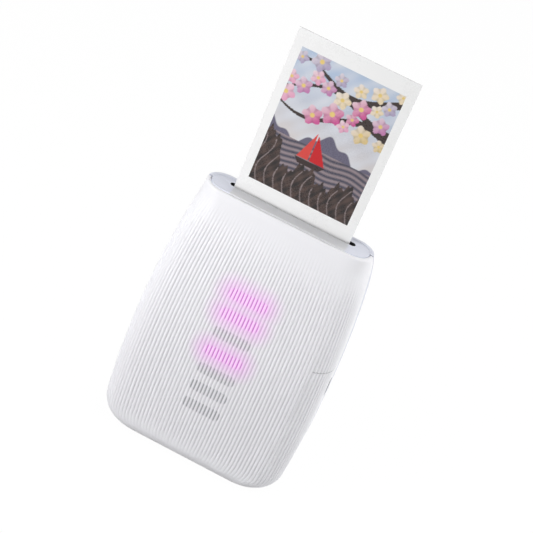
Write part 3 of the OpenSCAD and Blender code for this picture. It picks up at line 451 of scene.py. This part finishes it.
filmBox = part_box("film_sheet")
filmMiddle = (filmBox[0][1] + filmBox[1][1]) / 2
finishes = {
    "white_cover": coverMaterial(),
    "pale_blue_shell": shellMaterial(filmMiddle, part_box("top_cover")[0][1]),
    "button": moulded("whiteButton", (0.86, 0.865, 0.89), rough=0.35, tone=0.03, grain=0.2, bump=0.15),
    "smoked_window": glass("smokedWindow", (0.20, 0.22, 0.25), weight=0.7),
    "lamp": glass("lampLens", (0.85, 0.90, 0.97), weight=0.5, rough=0.2),
    "foam": moulded("blackFoam", (0.03, 0.03, 0.032), rough=0.9, tone=0.4, grain=0.35, bump=0.8, wear=0.0),
    "steel": metal("groundSteel", (0.56, 0.56, 0.58), rough=0.26, stretch=(2500, 2500, 60)),
    "sheet_steel": metal("platedSteel", (0.62, 0.63, 0.65), rough=0.34),
    "black_plastic": moulded("blackPlastic", (0.035, 0.035, 0.04), rough=0.5, change=0.15, tone=0.25, grain=0.3,
                             bump=0.35, wear=0.15),
    "roller_rubber": moulded("rollerRubber", (0.06, 0.06, 0.065), rough=0.7, change=0.15, tone=0.3, grain=0.15,
                             bump=0.5, wear=0.0),
    "brass": metal("sinteredBrass", (0.72, 0.50, 0.22), rough=0.36, stretch=(900, 900, 900), tone=0.2),
    "gear_plastic": moulded("naturalNylon", (0.80, 0.79, 0.72), rough=0.35, grain=0.3, bump=0.2, wear=0.2),
    "motor_can": metal("motorCan", (0.58, 0.59, 0.62), rough=0.22, stretch=(30, 1500, 1500)),
    "lens": glass("headLens", (0.6, 0.66, 0.72), weight=0.8, rough=0.08),
    "print": printMaterial(filmMiddle),
    "film": moulded("filmEdge", (0.78, 0.78, 0.77), tone=0.12, grain=0.12, bump=0.4, wear=0.0),
    "board": boardMaterial(),
    "battery": metal("foilPouch", (0.66, 0.67, 0.70), stretch=(300, 300, 300), tone=0.1, bump=0.3),
    "diffuser": moulded("milkyDiffuser", (0.86, 0.80, 0.87), rough=0.45, tone=0.04, grain=0.4, bump=0.1,
                        wear=0.0),
    "ribbon": moulded("ribbonFilm", (0.62, 0.30, 0.06), rough=0.3, tone=0.1, grain=0.3, bump=0.1, wear=0.0,
                      coat=0.4),
}
slotOf = {part["node"]: part["material_slot"] for part in frame["record"]["subparts"]}
for name, thing in nodes.items():
    thing.data.materials.clear()
    thing.data.materials.append(finishes[slotOf[name]])
print("finishes:", len(finishes))

# The body's outline in millimetres, from the frame's boxes and the part's own rules
coverBox, rearBox, doorBox = (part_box(name) for name in ("front_cover", "rear_shell", "film_door"))
body = {"wide": (coverBox[1][0] - coverBox[0][0]) / mm, "deep": (doorBox[1][1] - coverBox[0][1]) / mm,
        "high": rearBox[1][2] / mm, "topWide": 77, "topDeep": 16.5, "widestZ": 40, "leanZ": 50, "shoulderZ": 104,
        "frontCorner": 12, "backCorner": 8, "foot": 7, "sideFoot": 12, "wall": 1.8, "seam": 0.2, "base": 1.4,
        "splitY": 6, "sidePower": 2.3, "taper": 2, "lip": 0.4}
print("body:", *(round(body[size], 2) for size in ("wide", "deep", "high")), "mm")


def rounding(z, r):
    return 0 if z >= r else r - math.sqrt(max(r * r - (r - z) ** 2, 0))


def rise(z, start):
    return max(0, (z - start) / (body["high"] - start))


def halfWide(z):
    draw = (body["wide"] - body["topWide"]) / 2 * rise(z, body["widestZ"]) ** body["sidePower"]
    taper = body["taper"] * max(0, (body["widestZ"] - z) / body["widestZ"]) ** 2
    return body["wide"] / 2 - rounding(z, body["sideFoot"]) - draw - taper


def frontY(z):
    lean = (body["deep"] - body["topDeep"]) / 2 * rise(z, body["leanZ"]) ** 2
    return lean + rounding(z, body["foot"]) - body["deep"] / 2


def backY(z):
    shoulder = (body["deep"] - body["topDeep"]) / 2 * rise(z, body["shoulderZ"]) ** 2
    return body["deep"] / 2 - rounding(z, body["foot"]) - shoulder


def cornerR(z, which):
    return min(body[which], 0.98 * (backY(z) - frontY(z)) / 2)


def splitY(z):
    return min(body["splitY"], backY(z) - cornerR(z, "backCorner"))


def arc(cx, cy, r, start, stop, steps):
    angles = [math.radians(start + (stop - start) * i / steps) for i in range(steps + 1)]
    return [(cx + r * math.cos(a), cy + r * math.sin(a)) for a in angles]


def circle(cx, cy, r, steps=32):
    return arc(cx, cy, r, 0, 360 - 360 / steps, steps - 1)


def outline(z, inset, steps=16):
    w, f, b = halfWide(z) - inset, frontY(z) + inset, backY(z) - inset
    rf = max(cornerR(z, "frontCorner") - inset, 0.5)
    rb = max(cornerR(z, "backCorner") - inset, 0.5)
    return (arc(w - rf, f + rf, rf, 0, -90, steps) + arc(rf - w, f + rf, rf, -90, -180, steps)
            + arc(rb - w, b - rb, rb, 180, 90, steps) + arc(w - rb, b - rb, rb, 90, 0, steps))


sharpAngle = math.radians(40)


def shadeByAngle(thing):
    thing.data.shade_smooth()
    thing.data.set_sharp_from_angle(angle=sharpAngle)


# Points are given in millimetres here and in every function below
def meshObject(name, points, faces):
    mesh = bpy.data.meshes.new(name)
    made = bmesh.new()
    verts = [made.verts.new(Vector(p) * mm) for p in points]
    for face in faces:
        made.faces.new([verts[i] for i in face])
    bmesh.ops.remove_doubles(made, verts=made.verts, dist=1e-7)
    bmesh.ops.recalc_face_normals(made, faces=made.faces)
    made.to_mesh(mesh)
    made.free()
    thing = bpy.data.objects.new(name, mesh)
    bpy.context.scene.collection.objects.link(thing)
    shadeByAngle(thing)
    return thing


# Closed solid between stacked rings of (x, y, z)
def stacked(name, rings):
    count, last = len(rings[0]), len(rings) - 1
    faces = []
    for k in range(last):
        low, high = k * count, (k + 1) * count
        faces += [(low + i, low + (i + 1) % count, high + (i + 1) % count, high + i) for i in range(count)]
    faces += [tuple(range(count))[::-1], tuple(range(last * count, (last + 1) * count))]
    return meshObject(name, [p for ring in rings for p in ring], faces)


def spread(low, high, step):
    count = max(1, round((high - low) / step))
    return [low + (high - low) * i / count for i in range(count + 1)]


# Close rows on the round foot
footHeights = (0, 0.1, 0.3, 0.6, 1, 1.5, 2.1, 2.8, 3.6, 4.5, 5.5, 6.7, 8, 9.5, 11, 13)


def bodyHeights(low, high):
    fine = [z for z in footHeights if low < z < high]
    rest = [z for z in spread(15, body["high"], 2.2) if low + 0.3 < z < high - 0.3]
    return [low] + fine + rest + [high]


def bodyForm(name, inset, low, high):
    return stacked(name, [[(x, y, z) for x, y in outline(z, inset)] for z in bodyHeights(low, high)])


# Closed solid: a flat ring pushed along x, y or z
def prism(name, ring, axis, low, high):
    def place(p, t):
        return {"x": (t, p[0], p[1]), "y": (p[0], t, p[1]), "z": (p[0], p[1], t)}[axis]
    return stacked(name, [[place(p, low) for p in ring], [place(p, high) for p in ring]])


def block(name, x0, x1, y0, y1, z0, z1):
    return prism(name, [(x0, y0), (x1, y0), (x1, y1), (x0, y1)], "z", z0, z1)


def pill(length, width, at=(0, 0), upright=False, steps=24):
    r, half = width / 2, (length - width) / 2
    ring = arc(half, 0, r, -90, 90, steps) + arc(-half, 0, r, 90, 270, steps)
    return [(at[0] - y, at[1] + x) if upright else (at[0] + x, at[1] + y) for x, y in ring]


def bake(thing):
    graph = bpy.context.evaluated_depsgraph_get()
    fresh = bpy.data.meshes.new_from_object(thing.evaluated_get(graph), preserve_all_data_layers=True,
                                            depsgraph=graph)
    thing.modifiers.clear()
    thing.data = fresh
    return thing


def modify(thing, kind, **settings):
    made = thing.modifiers.new(kind, kind)
    for name, value in settings.items():
        setattr(made, name, value)
    bake(thing)


def combine(thing, *tools, operation="DIFFERENCE"):
    for tool in tools:
        modify(thing, "BOOLEAN", operation=operation, object=tool, solver="MANIFOLD")
        bpy.data.objects.remove(tool)


def copyOf(thing, name):
    made = bpy.data.objects.new(name, thing.data.copy())
    bpy.context.scene.collection.objects.link(made)
    return made


def finishPiece(thing, bodyName, *replaced, slot=None, edge=0.0):
    if edge:
        modify(thing, "BEVEL", width=edge * mm, segments=2, limit_method="ANGLE", angle_limit=sharpAngle,
               harden_normals=False)
    thing.data.materials.clear()
    thing.data.materials.append(finishes[slot or slotOf[replaced[0]]])
    shadeByAngle(thing)
    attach(thing, bodyName)
    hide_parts(*replaced)
    print("piece:", thing.name, len(thing.data.polygons), "faces")


# Ribs of the front cover: the groove lies at its place within a rib's pitch and fades at the top and the foot
ribs = {"count": 66, "pitch": 1.65, "depth": 0.38, "margin": 2, "runout": 2.5, "fade": 24, "foot": 13,
        "grooveAt": 0.76, "grooveHalf": 0.30, "edge": 0.35, "innerEdge": 0.3, "innerShare": 0.3, "lipRound": 0.8,
        "columns": 8, "strip": 11, "footRows": (2.6, 3.3, 4.1, 5, 6, 7.2, 8.6, 10.2, 12),
        "rows": ((14.5, 104, 3.4), (105.6, 119, 1.6)), "lipRows": (120.4, 1.0), "lipAngles": (22, 45, 68, 90)}


# Distance round the cover at height z, from its right seam over the front to its left seam
def coverRun(z):
    r = cornerR(z, "frontCorner")
    return 2 * (splitY(z) - frontY(z) - r + math.pi / 2 * r + halfWide(z) - r)


# Place on the cover at height z, s from the right seam, and the direction outward
def coverAt(z, s):
    run = coverRun(z)
    if s > run / 2:
        x, y, nx, ny = coverAt(z, run - s)
        return -x, y, -nx, ny
    r = cornerR(z, "frontCorner")
    flank, bend = splitY(z) - frontY(z) - r, math.pi / 2 * r
    if s <= flank:
        return halfWide(z), splitY(z) - s, 1, 0
    if s < flank + bend:
        a = (s - flank) / r
        return halfWide(z) - r + r * math.cos(a), frontY(z) + r - r * math.sin(a), math.cos(a), -math.sin(a)
    return halfWide(z) - r - (s - flank - bend), frontY(z), 0, -1


def ease(t):
    t = min(max(t, 0), 1)
    return t * t * (3 - 2 * t)


def pitchAt(z):
    widest = (coverRun(z) / 2 - ribs["margin"]) / (ribs["count"] / 2)
    return min(ribs["pitch"] * halfWide(z) / (body["wide"] / 2), widest)


def ribReach(z):
    low = body["base"] + body["seam"]
    return ease((body["high"] - ribs["runout"] - z) / ribs["fade"]) * ease((z - low) / ribs["foot"])


# Each column is (distance, share of the smooth strip or rib number, which region, how far its edge is rounded in)
def coverColumns():
    edge = ribs["edge"]
    near = [(0, "edge", edge), (0.1 * edge, "edge", 0.4 * edge), (0.45 * edge, "edge", 0.1 * edge)]
    near += [(i / ribs["strip"], "strip", 0) for i in range(ribs["strip"])]
    middle = [(i / ribs["columns"], "rib", 0) for i in range(ribs["count"] * ribs["columns"] + 1)]
    return near + middle + [(t, "far " + region, inset) for t, region, inset in reversed(near)]


# Distance of a column from the right seam
def columnRun(z, t, region):
    run, pitch = coverRun(z), pitchAt(z)
    first = run / 2 - pitch * ribs["count"] / 2
    if region == "rib":
        return first + pitch * t
    s = t if region.endswith("edge") else ribs["edge"] + (first - ribs["edge"]) * t
    return run - s if region.startswith("far") else s


# Each row is (height, how far its edge is rounded in)
def coverRows():
    low, high = body["base"] + body["seam"], body["high"] - body["lip"]
    e, r = ribs["edge"], ribs["lipRound"]
    start, step = ribs["lipRows"]
    rows = [(low, e), (low + 0.1 * e, 0.4 * e), (low + 0.45 * e, 0.1 * e), (low + e, 0)]
    rows += [(z, 0) for z in ribs["footRows"]]
    rows += [(z, 0) for span in (*ribs["rows"], (start, high - r, step)) for z in spread(*span)]
    rows += [(high - r * (1 - math.sin(a)), r * (1 - math.cos(a))) for a in map(math.radians, ribs["lipAngles"])]
    return rows


# Presses the grooves into the cover along its outward attribute, and keeps how deep each point went
def ribTree():
    tree = bpy.data.node_groups.new("ribbing", "GeometryNodeTree")
    for label, kind, value in (("Geometry", "Geometry", None), ("Groove Depth", "Float", 0.0004),
                               ("Groove Place", "Float", 0.75), ("Groove Half Width", "Float", 0.25),
                               ("Material", "Material", None)):
        socket = tree.interface.new_socket(label, in_out="INPUT", socket_type="NodeSocket" + kind)
        if value is not None:
            socket.default_value = value
    tree.interface.new_socket("Geometry", in_out="OUTPUT", socket_type="NodeSocketGeometry")
    given, result = tree.nodes.new("NodeGroupInput").outputs, tree.nodes.new("NodeGroupOutput").inputs

    def named(label, kind="FLOAT"):
        return add(tree, "GeometryNodeInputNamedAttribute", {"Name": label}, data_type=kind).outputs["Attribute"]

    apart = maths(tree, "WRAP", maths(tree, "SUBTRACT", named("ribNumber"), given["Groove Place"]), -0.5, 0.5)
    apart = maths(tree, "ABSOLUTE", apart)
    profile = ramp(tree, apart, 0.0, given["Groove Half Width"], 1.0, 0.0, "SMOOTHSTEP")
    depth = maths(tree, "MULTIPLY", profile, named("ribReach"))
    inward = maths(tree, "MULTIPLY", depth, maths(tree, "MULTIPLY", given["Groove Depth"], -1.0))
    push = add(tree, "ShaderNodeVectorMath", {0: named("outward", "FLOAT_VECTOR"), "Scale": inward},
               operation="SCALE")
    moved = add(tree, "GeometryNodeSetPosition", {"Geometry": given["Geometry"], "Offset": push.outputs[0]})
    kept = add(tree, "GeometryNodeStoreNamedAttribute", {"Geometry": moved.outputs[0], "Name": "grooveMask"},
               data_type="FLOAT", domain="POINT")
    tree.links.new(depth, [s for s in kept.inputs if s.name == "Value" and s.enabled][0])
    real = add(tree, "GeometryNodeRealizeInstances", {"Geometry": kept.outputs[0]})
    painted = add(tree, "GeometryNodeSetMaterial", {"Geometry": real.outputs[0], "Material": given["Material"]})
    tree.links.new(painted.outputs[0], result["Geometry"])
    return tree


def ribbedShell():
    columns, rows = coverColumns(), coverRows()
    wide, tall = len(columns), 2 * len(rows)
    points, number, reach, outward = [], [], [], []
    for inner in (False, True):
        for z, edgeIn in (reversed(rows) if inner else rows):
            for t, region, columnIn in columns:
                x, y, nx, ny = coverAt(z, columnRun(z, t, region))
                inset = max(edgeIn, columnIn)
                if inner:
                    inset = body["wall"] - min(edgeIn, ribs["innerEdge"]) - columnIn * ribs["innerShare"]
                points.append((x - nx * inset, y - ny * inset, z))
                number.append(t if region == "rib" else 0)
                reach.append(ribReach(z) if region == "rib" and not inner else 0)
                outward += (nx, ny, 0)
    faces = [(k * wide + i, k * wide + i + 1, (k + 1) % tall * wide + i + 1, (k + 1) % tall * wide + i)
             for k in range(tall) for i in range(wide - 1)]
    for k in range(len(rows) - 1):
        a, b = k * wide, (tall - 1 - k) * wide
        faces.append((a, a + wide, b - wide, b))
        faces.append((a + wide - 1, b + wide - 1, b - 1, a + 2 * wide - 1))
    thing = meshObject("ribbedShell", points, faces)
    attributes = thing.data.attributes
    attributes.new("ribNumber", "FLOAT", "POINT").data.foreach_set("value", number)
    attributes.new("ribReach", "FLOAT", "POINT").data.foreach_set("value", reach)
    attributes.new("outward", "FLOAT_VECTOR", "POINT").data.foreach_set("vector", outward)
    modifier = thing.modifiers.new("ribbing", "NODES")
    modifier.node_group = ribTree()
    values = {"Groove Depth": ribs["depth"] * mm, "Groove Place": ribs["grooveAt"],
              "Groove Half Width": ribs["grooveHalf"], "Material": finishes["white_cover"]}
    for socket in modifier.node_group.interface.items_tree:
        if socket.item_type == "SOCKET" and socket.in_out == "INPUT" and socket.name in values:
            modifier[socket.identifier] = values[socket.name]
    return bake(thing)


# Openings of the two flanks: port and panel on the right, buttons and lamp on the left
side = {"portZ": 58, "portY": 1.5, "portLong": 9, "portWide": 3.2, "panelHigh": 28, "panelTurn": 69, "slit": 0.06,
        "buttonY": 1, "powerZ": 72, "modeZ": 54, "buttonLong": 12, "buttonWide": 5, "lampZ": 84, "lampR": 1.1,
        "lampGap": 0.15}


def makeCover():
    shell = ribbedShell()
    panel = copyOf(shell, "sidePanel")
    gap, slit, wide, deep = body["seam"], side["slit"], body["wide"], body["deep"]
    panelLow, panelHigh = side["portZ"] - side["panelHigh"] / 2, side["portZ"] + side["panelHigh"] / 2
    panelX = halfWide(side["portZ"]) - body["frontCorner"] * (1 - math.cos(math.radians(side["panelTurn"])))
    holes = [pill(side["buttonLong"] + 2 * gap, side["buttonWide"] + 2 * gap, (side["buttonY"], z), True)
             for z in (side["powerZ"], side["modeZ"])]
    holes.append(circle(side["buttonY"], side["lampZ"], side["lampR"] + side["lampGap"], 24))
    combine(shell, block("cut", panelX, wide, -deep, deep, panelLow, panelHigh),
            *[prism("cut", hole, "x", -wide, -wide / 4) for hole in holes])
    combine(panel, block("keep", panelX + slit, wide, -deep, body["splitY"] - gap / 2, panelLow + slit,
                         panelHigh - slit), operation="INTERSECT")
    port = pill(side["portLong"], side["portWide"], (side["portY"], side["portZ"]), True)
    combine(panel, prism("cut", port, "x", wide / 4, wide))
    shell.name = "frontCover"
    finishPiece(shell, "printer", "front_cover")
    finishPiece(panel, "printer", "side_panel")


makeCover()

# The print, its picture painted by a rule: blossoms over a bay at dusk
picture = {"wide": 46, "high": 62, "low": 17, "inset": 0.06, "step": 0.3, "border": (0.93, 0.93, 0.93),
           "back": (0.86, 0.86, 0.85), "sky": ((0.66, 0.62, 0.62), (0.44, 0.54, 0.70)),
           "cloud": (0.70, 0.72, 0.78), "hill": (0.13, 0.12, 0.18), "hillZ": 28,
           "water": ((0.05, 0.05, 0.08), (0.30, 0.24, 0.26)), "waterZ": 24.5,
           "sails": ((0.56, 0.008, 0.014), (0.68, 0.06, 0.05)), "hull": (0.03, 0.015, 0.015),
           "mast": (-3, 18.5, 13), "shore": ((0.012, 0.008, 0.008), (0.075, 0.045, 0.038)), "shoreZ": 13,
           "reed": (0.24, 0.19, 0.19), "branch": (0.035, 0.022, 0.020), "branches": 3,
           "heart": (0.80, 0.60, 0.20), "petalEdge": (0.86, 0.80, 0.80),
           "petals": ((0.60, 0.10, 0.30), (0.76, 0.36, 0.52), (0.70, 0.54, 0.26), (0.42, 0.36, 0.52),
                      (0.80, 0.66, 0.44), (0.52, 0.20, 0.42)),
           "seed": 11, "blossoms": 22, "tries": 2000, "blossomR": (2.8, 5.2), "spacing": 0.80}


def mixed(a, b, t):
    t = min(max(t, 0), 1)
    return tuple(x + (y - x) * t for x, y in zip(a, b))


def branchAt(x, i):
    return 39 + 8 * i + 4 * math.sin(x * 0.12 + i * 2.1)


# Blossoms lie near the branches and clear of the lower left, where the sky stays open
def blossomList():
    pick = random.Random(picture["seed"])
    petals, half = picture["petals"], picture["wide"] / 2
    made = []
    for _ in range(picture["tries"]):
        size = pick.uniform(*picture["blossomR"])
        x, z = pick.uniform(-half, half), pick.uniform(30, picture["high"])
        if min(abs(z - branchAt(x, i)) for i in range(picture["branches"])) > 4.5 or z < 34 - 0.3 * x:
            continue
        if all(math.hypot(x - b[0], z - b[1]) > picture["spacing"] * (size + b[2]) for b in made):
            made.append((x, z, size, pick.uniform(0, 6.3), petals[pick.randrange(len(petals))]))
        if len(made) == picture["blossoms"]:
            break
    return made


blossoms = blossomList()
print("picture:", len(blossoms), "blossoms")


def wave(x, z, seed):
    slow = math.sin(x * 0.53 + seed) * math.cos(z * 0.37 + 1.7 * seed)
    return slow + 0.5 * math.sin(x * 1.31 - z * 0.8 + 2.3 * seed)


def paintBackground(x, z):
    color = mixed(*picture["sky"], (z - 26) / 30)
    color = mixed(color, picture["cloud"], 0.35 + 0.35 * wave(x * 0.6, z * 0.9, 0.4))
    hill = picture["hillZ"] + 3.4 * math.sin(x * 0.21 + 1) + 1.3 * math.sin(x * 0.7)
    color = mixed(color, picture["hill"], ease((hill - z) / 0.5))
    if z < picture["waterZ"]:
        color = mixed(*picture["water"], 0.5 + 0.5 * math.sin(z * 2.6 + 2 * math.sin(x * 0.3)))
    return color


def paintBoat(x, z, color):
    mastX, mastZ, mastHigh = picture["mast"]
    up, off = (z - mastZ) / mastHigh, x - mastX
    if 0 < up < 1:
        if 0.5 < off < 7.4 * (1 - up):
            color = picture["sails"][0]
        elif -5 * (1 - up) < off < 0.1:
            color = picture["sails"][1]
    keel = z - mastZ + 2.9
    if 0 < keel < 2.6 and abs(off - 1) < 4.6 + keel * 0.9:
        color = picture["hull"]
    return color


def paintShore(x, z, color):
    shore = picture["shoreZ"] + 2.6 * math.sin(x * 0.34 + 2.2) + 1.6 * math.sin(x * 1.1 + 0.5)
    shore += 0.8 * math.sin(x * 3.1) + 9 * ease((-x - 10) / 9)
    if z < shore:
        color = mixed(*picture["shore"], 0.5 + 0.45 * wave(x * 1.6, z * 1.9, 1.3))
        if math.sin(x * 1.5 + 3 * math.sin(z * 0.25)) > 0.95 and z < shore - 2:
            color = picture["reed"]
    return color


def paintBlossoms(x, z, color):
    for bx, bz, size, turn, shade in blossoms:
        dx, dz = x - bx, z - bz
        far = math.hypot(dx, dz)
        if far >= size:
            continue
        lobe = math.cos(5 * (math.atan2(dz, dx) + turn))  # five petals
        if far < size * (0.86 + 0.14 * lobe):
            petal = mixed(shade, picture["petalEdge"], 0.6 * (0.5 + 0.5 * (dz - dx) / size))
            petal = mixed(petal, mixed(shade, (0, 0, 0), 0.5), 0.7 * max(0, -lobe) * far / size)
            color = mixed(petal, picture["heart"], ease((0.26 * size - far) / 0.3))
    return color


# x from the picture's middle, z from its lower edge
def paintAt(x, z):
    color = paintShore(x, z, paintBoat(x, z, paintBackground(x, z)))
    if any(abs(z - branchAt(x, i)) < 0.4 + 0.03 * (x + 23) for i in range(picture["branches"])):
        color = picture["branch"]
    return paintBlossoms(x, z, color)


# Coarse over the border, fine over the picture, with a narrow step between them
def printLines(low, high, start, stop):
    deep = picture["inset"]
    return (spread(low, start - deep, 1)[:-1] + [start - deep] + spread(start, stop, picture["step"])
            + [stop + deep] + spread(stop + deep, high, 1)[1:])


def makePrint():
    low, high = (tuple(v / mm for v in corner) for corner in filmBox)
    deep, half = picture["inset"], picture["wide"] / 2
    base = low[2] + picture["low"]
    top = base + picture["high"]
    xs, zs = printLines(low[0], high[0], -half, half), printLines(low[2], high[2], base, top)
    wide, tall = len(xs), len(zs)
    points, colors = [], []
    for z in zs:
        for x in xs:
            inside = abs(x) < half + deep / 2 and base - deep / 2 < z < top + deep / 2
            points.append((x, low[1] + (deep if inside else 0), z))
            colors.append(paintAt(x, z - base) if inside else picture["border"])
    faces = [(k * wide + i, k * wide + i + 1, (k + 1) * wide + i + 1, (k + 1) * wide + i)
             for k in range(tall - 1) for i in range(wide - 1)]
    rim = list(range(wide)) + [k * wide + wide - 1 for k in range(1, tall)]
    rim += [(tall - 1) * wide + i for i in range(wide - 2, -1, -1)] + [k * wide for k in range(tall - 2, 0, -1)]
    start, count = len(points), len(rim)
    points += [(points[i][0], high[1], points[i][2]) for i in rim]
    colors += [picture["back"]] * count
    faces += [(rim[i], start + i, start + (i + 1) % count, rim[(i + 1) % count]) for i in range(count)]
    faces.append(tuple(range(start, start + count)))
    thing = meshObject("printSheet", points, faces)
    paint = thing.data.color_attributes.new("paint", "FLOAT_COLOR", "POINT")
    paint.data.foreach_set("color", [v for c in colors for v in (*c, 1)])
    finishPiece(thing, "film", "film_sheet")


makePrint()

# Top cover: its slot is longer than the sheet, and its rim fills the wall's opening
topPlate = {"gap": 0.02, "slotPast": 4.6, "slotWide": 3, "edge": 0.06}


def makeTopCover():
    low, high = (tuple(v / mm for v in corner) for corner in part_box("top_cover"))
    plate = bodyForm("topCover", body["wall"] + topPlate["gap"], low[2], high[2])
    slotLong = (filmBox[1][0] - filmBox[0][0]) / mm + topPlate["slotPast"]
    slot = pill(slotLong, topPlate["slotWide"], (topLook["slotX"] / mm, filmMiddle / mm), steps=16)
    combine(plate, prism("cut", slot, "z", low[2] - 1, high[2] + 1))
    finishPiece(plate, "printer", "top_cover", edge=topPlate["edge"])


# Base plate with the two ribs that carry the chassis
base = {"ribX": 20, "ribHalf": 0.6, "ribLow": 0.7}


def makeBase():
    plate = bodyForm("basePlate", 0, 0, body["base"])
    chassisLow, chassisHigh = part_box("chassis")
    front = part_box("film_pack")[0][1] / mm - body["seam"]
    combine(plate, *[block("rib", x - base["ribHalf"], x + base["ribHalf"], front, chassisHigh[1] / mm,
                           base["ribLow"], chassisLow[2] / mm) for x in (-base["ribX"], base["ribX"])],
            operation="UNION")
    finishPiece(plate, "printer", "base_plate")


# Rear shell and film door: the hinge is at -X, the latch at +X
door = {"low": 8, "hingeX": 37.6, "hingeY": body["deep"] / 2 - 2.05, "pinR": 0.8, "pinPlay": 0.05,
        "knuckleR": 1.7, "knuckleLong": 5, "knuckles": (24, 80), "sweepR": 2.4, "webWide": 5, "slip": 0.3,
        "latchX": 33, "latchZ": 60, "latchLong": 18, "latchWide": 4, "latchTravel": 4, "pocketDeep": 2.6,
        "pocket": (-1, 1.3), "windowWide": 12, "windowHigh": 26, "windowDown": 31, "ribHalf": 0.6,
        "ribFromEnd": 10, "ribShort": 6, "edge": 0.12}
latchLow = door["latchZ"] - door["latchLong"] / 2 - door["latchTravel"]
latchHigh = door["latchZ"] + door["latchLong"] / 2


def rodZ(name, r, low, high, x, y):
    return prism(name, circle(x, y, r), "z", low, high)


def knuckleRods(name, r, places, long):
    return [rodZ(name, r, z - long / 2, z + long / 2, -door["hingeX"], door["hingeY"]) for z in places]


def fixedKnuckles():
    step = door["knuckleLong"] + door["slip"]
    return [z + s * step for z in door["knuckles"] for s in (-1, 1)]


def makeRear():
    wide, deep = body["wide"], body["deep"]
    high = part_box("film_door")[1][2] / mm + body["seam"]
    shell = bodyForm("rearShell", 0, body["base"] + body["seam"], body["high"])
    heights = bodyHeights(-1, body["high"] + 1)
    ring = [(splitY(min(max(z, 0), body["high"])) + body["seam"], z) for z in heights]
    ring += [(deep, body["high"] + 1), (deep, -1)]
    combine(shell, prism("keep", ring, "x", -wide, wide), operation="INTERSECT")
    x, y, r = door["hingeX"], door["hingeY"], door["knuckleR"]
    hollow = bodyForm("hollow", body["wall"], body["base"], body["high"] + 0.01)
    combine(hollow, block("open", -x, x, body["splitY"] + 1, deep, door["low"], high),
            rodZ("open", door["sweepR"], door["low"], high, -x, y),
            block("open", -x - door["sweepR"], 0, y, deep, door["low"], high), operation="UNION")
    for z in fixedKnuckles():
        low = z - door["knuckleLong"] / 2
        combine(hollow, rodZ("web", r, low, low + door["knuckleLong"], -x, y),
                block("web", -x - door["webWide"], -x, y - r, y - door["slip"], low, low + door["knuckleLong"]))
    pocketIn, pocketOut = door["pocket"]
    combine(shell, hollow, *knuckleRods("bore", door["pinR"], door["knuckles"], 4 * door["knuckleLong"]),
            block("pocket", x + pocketIn, x + pocketOut, y - door["pocketDeep"], deep, latchLow, latchHigh))
    finishPiece(shell, "printer", "rear_shell", edge=door["edge"])


def makeDoor():
    gap, slip, deep = body["seam"], door["slip"], body["deep"]
    low, high = door["low"] + gap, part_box("film_door")[1][2] / mm
    x = door["hingeX"]
    inside = deep / 2 - body["wall"]
    panel = bodyForm("filmDoor", 0, low, high)
    combine(panel, block("keep", -x, x - gap, body["splitY"] + 1 + gap, deep, low, high), operation="INTERSECT")
    combine(panel, bodyForm("hollow", body["wall"], low - 1, high + 1),
            *knuckleRods("free", door["knuckleR"] + slip, fixedKnuckles(), door["knuckleLong"] + 2 * slip))
    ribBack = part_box("film_pack")[1][1] / mm + slip
    ribLong = door["latchX"] - door["latchWide"] / 2 - 1 - slip - door["ribShort"]
    ribPlaces = (door["low"] + door["ribFromEnd"], high + gap - door["ribFromEnd"])
    combine(panel, *knuckleRods("knuckle", door["knuckleR"], door["knuckles"], door["knuckleLong"]),
            *[block("rib", -ribLong, ribLong, ribBack, inside + 0.5, z - door["ribHalf"], z + door["ribHalf"])
              for z in ribPlaces], operation="UNION")
    half = door["latchWide"] / 2 + slip
    window = pill(door["windowHigh"], door["windowWide"], (0, high + gap - door["windowDown"]), True)
    combine(panel, *knuckleRods("bore", door["pinR"] + door["pinPlay"], door["knuckles"],
                                2 * door["knuckleLong"]), prism("cut", window, "y", inside - 1, deep),
            block("cut", door["latchX"] - half, door["latchX"] + half, inside - 1, deep, latchLow - slip,
                  latchHigh + slip))
    finishPiece(panel, "door", "film_door", edge=door["edge"])


makeTopCover()
makeBase()
makeRear()
makeDoor()
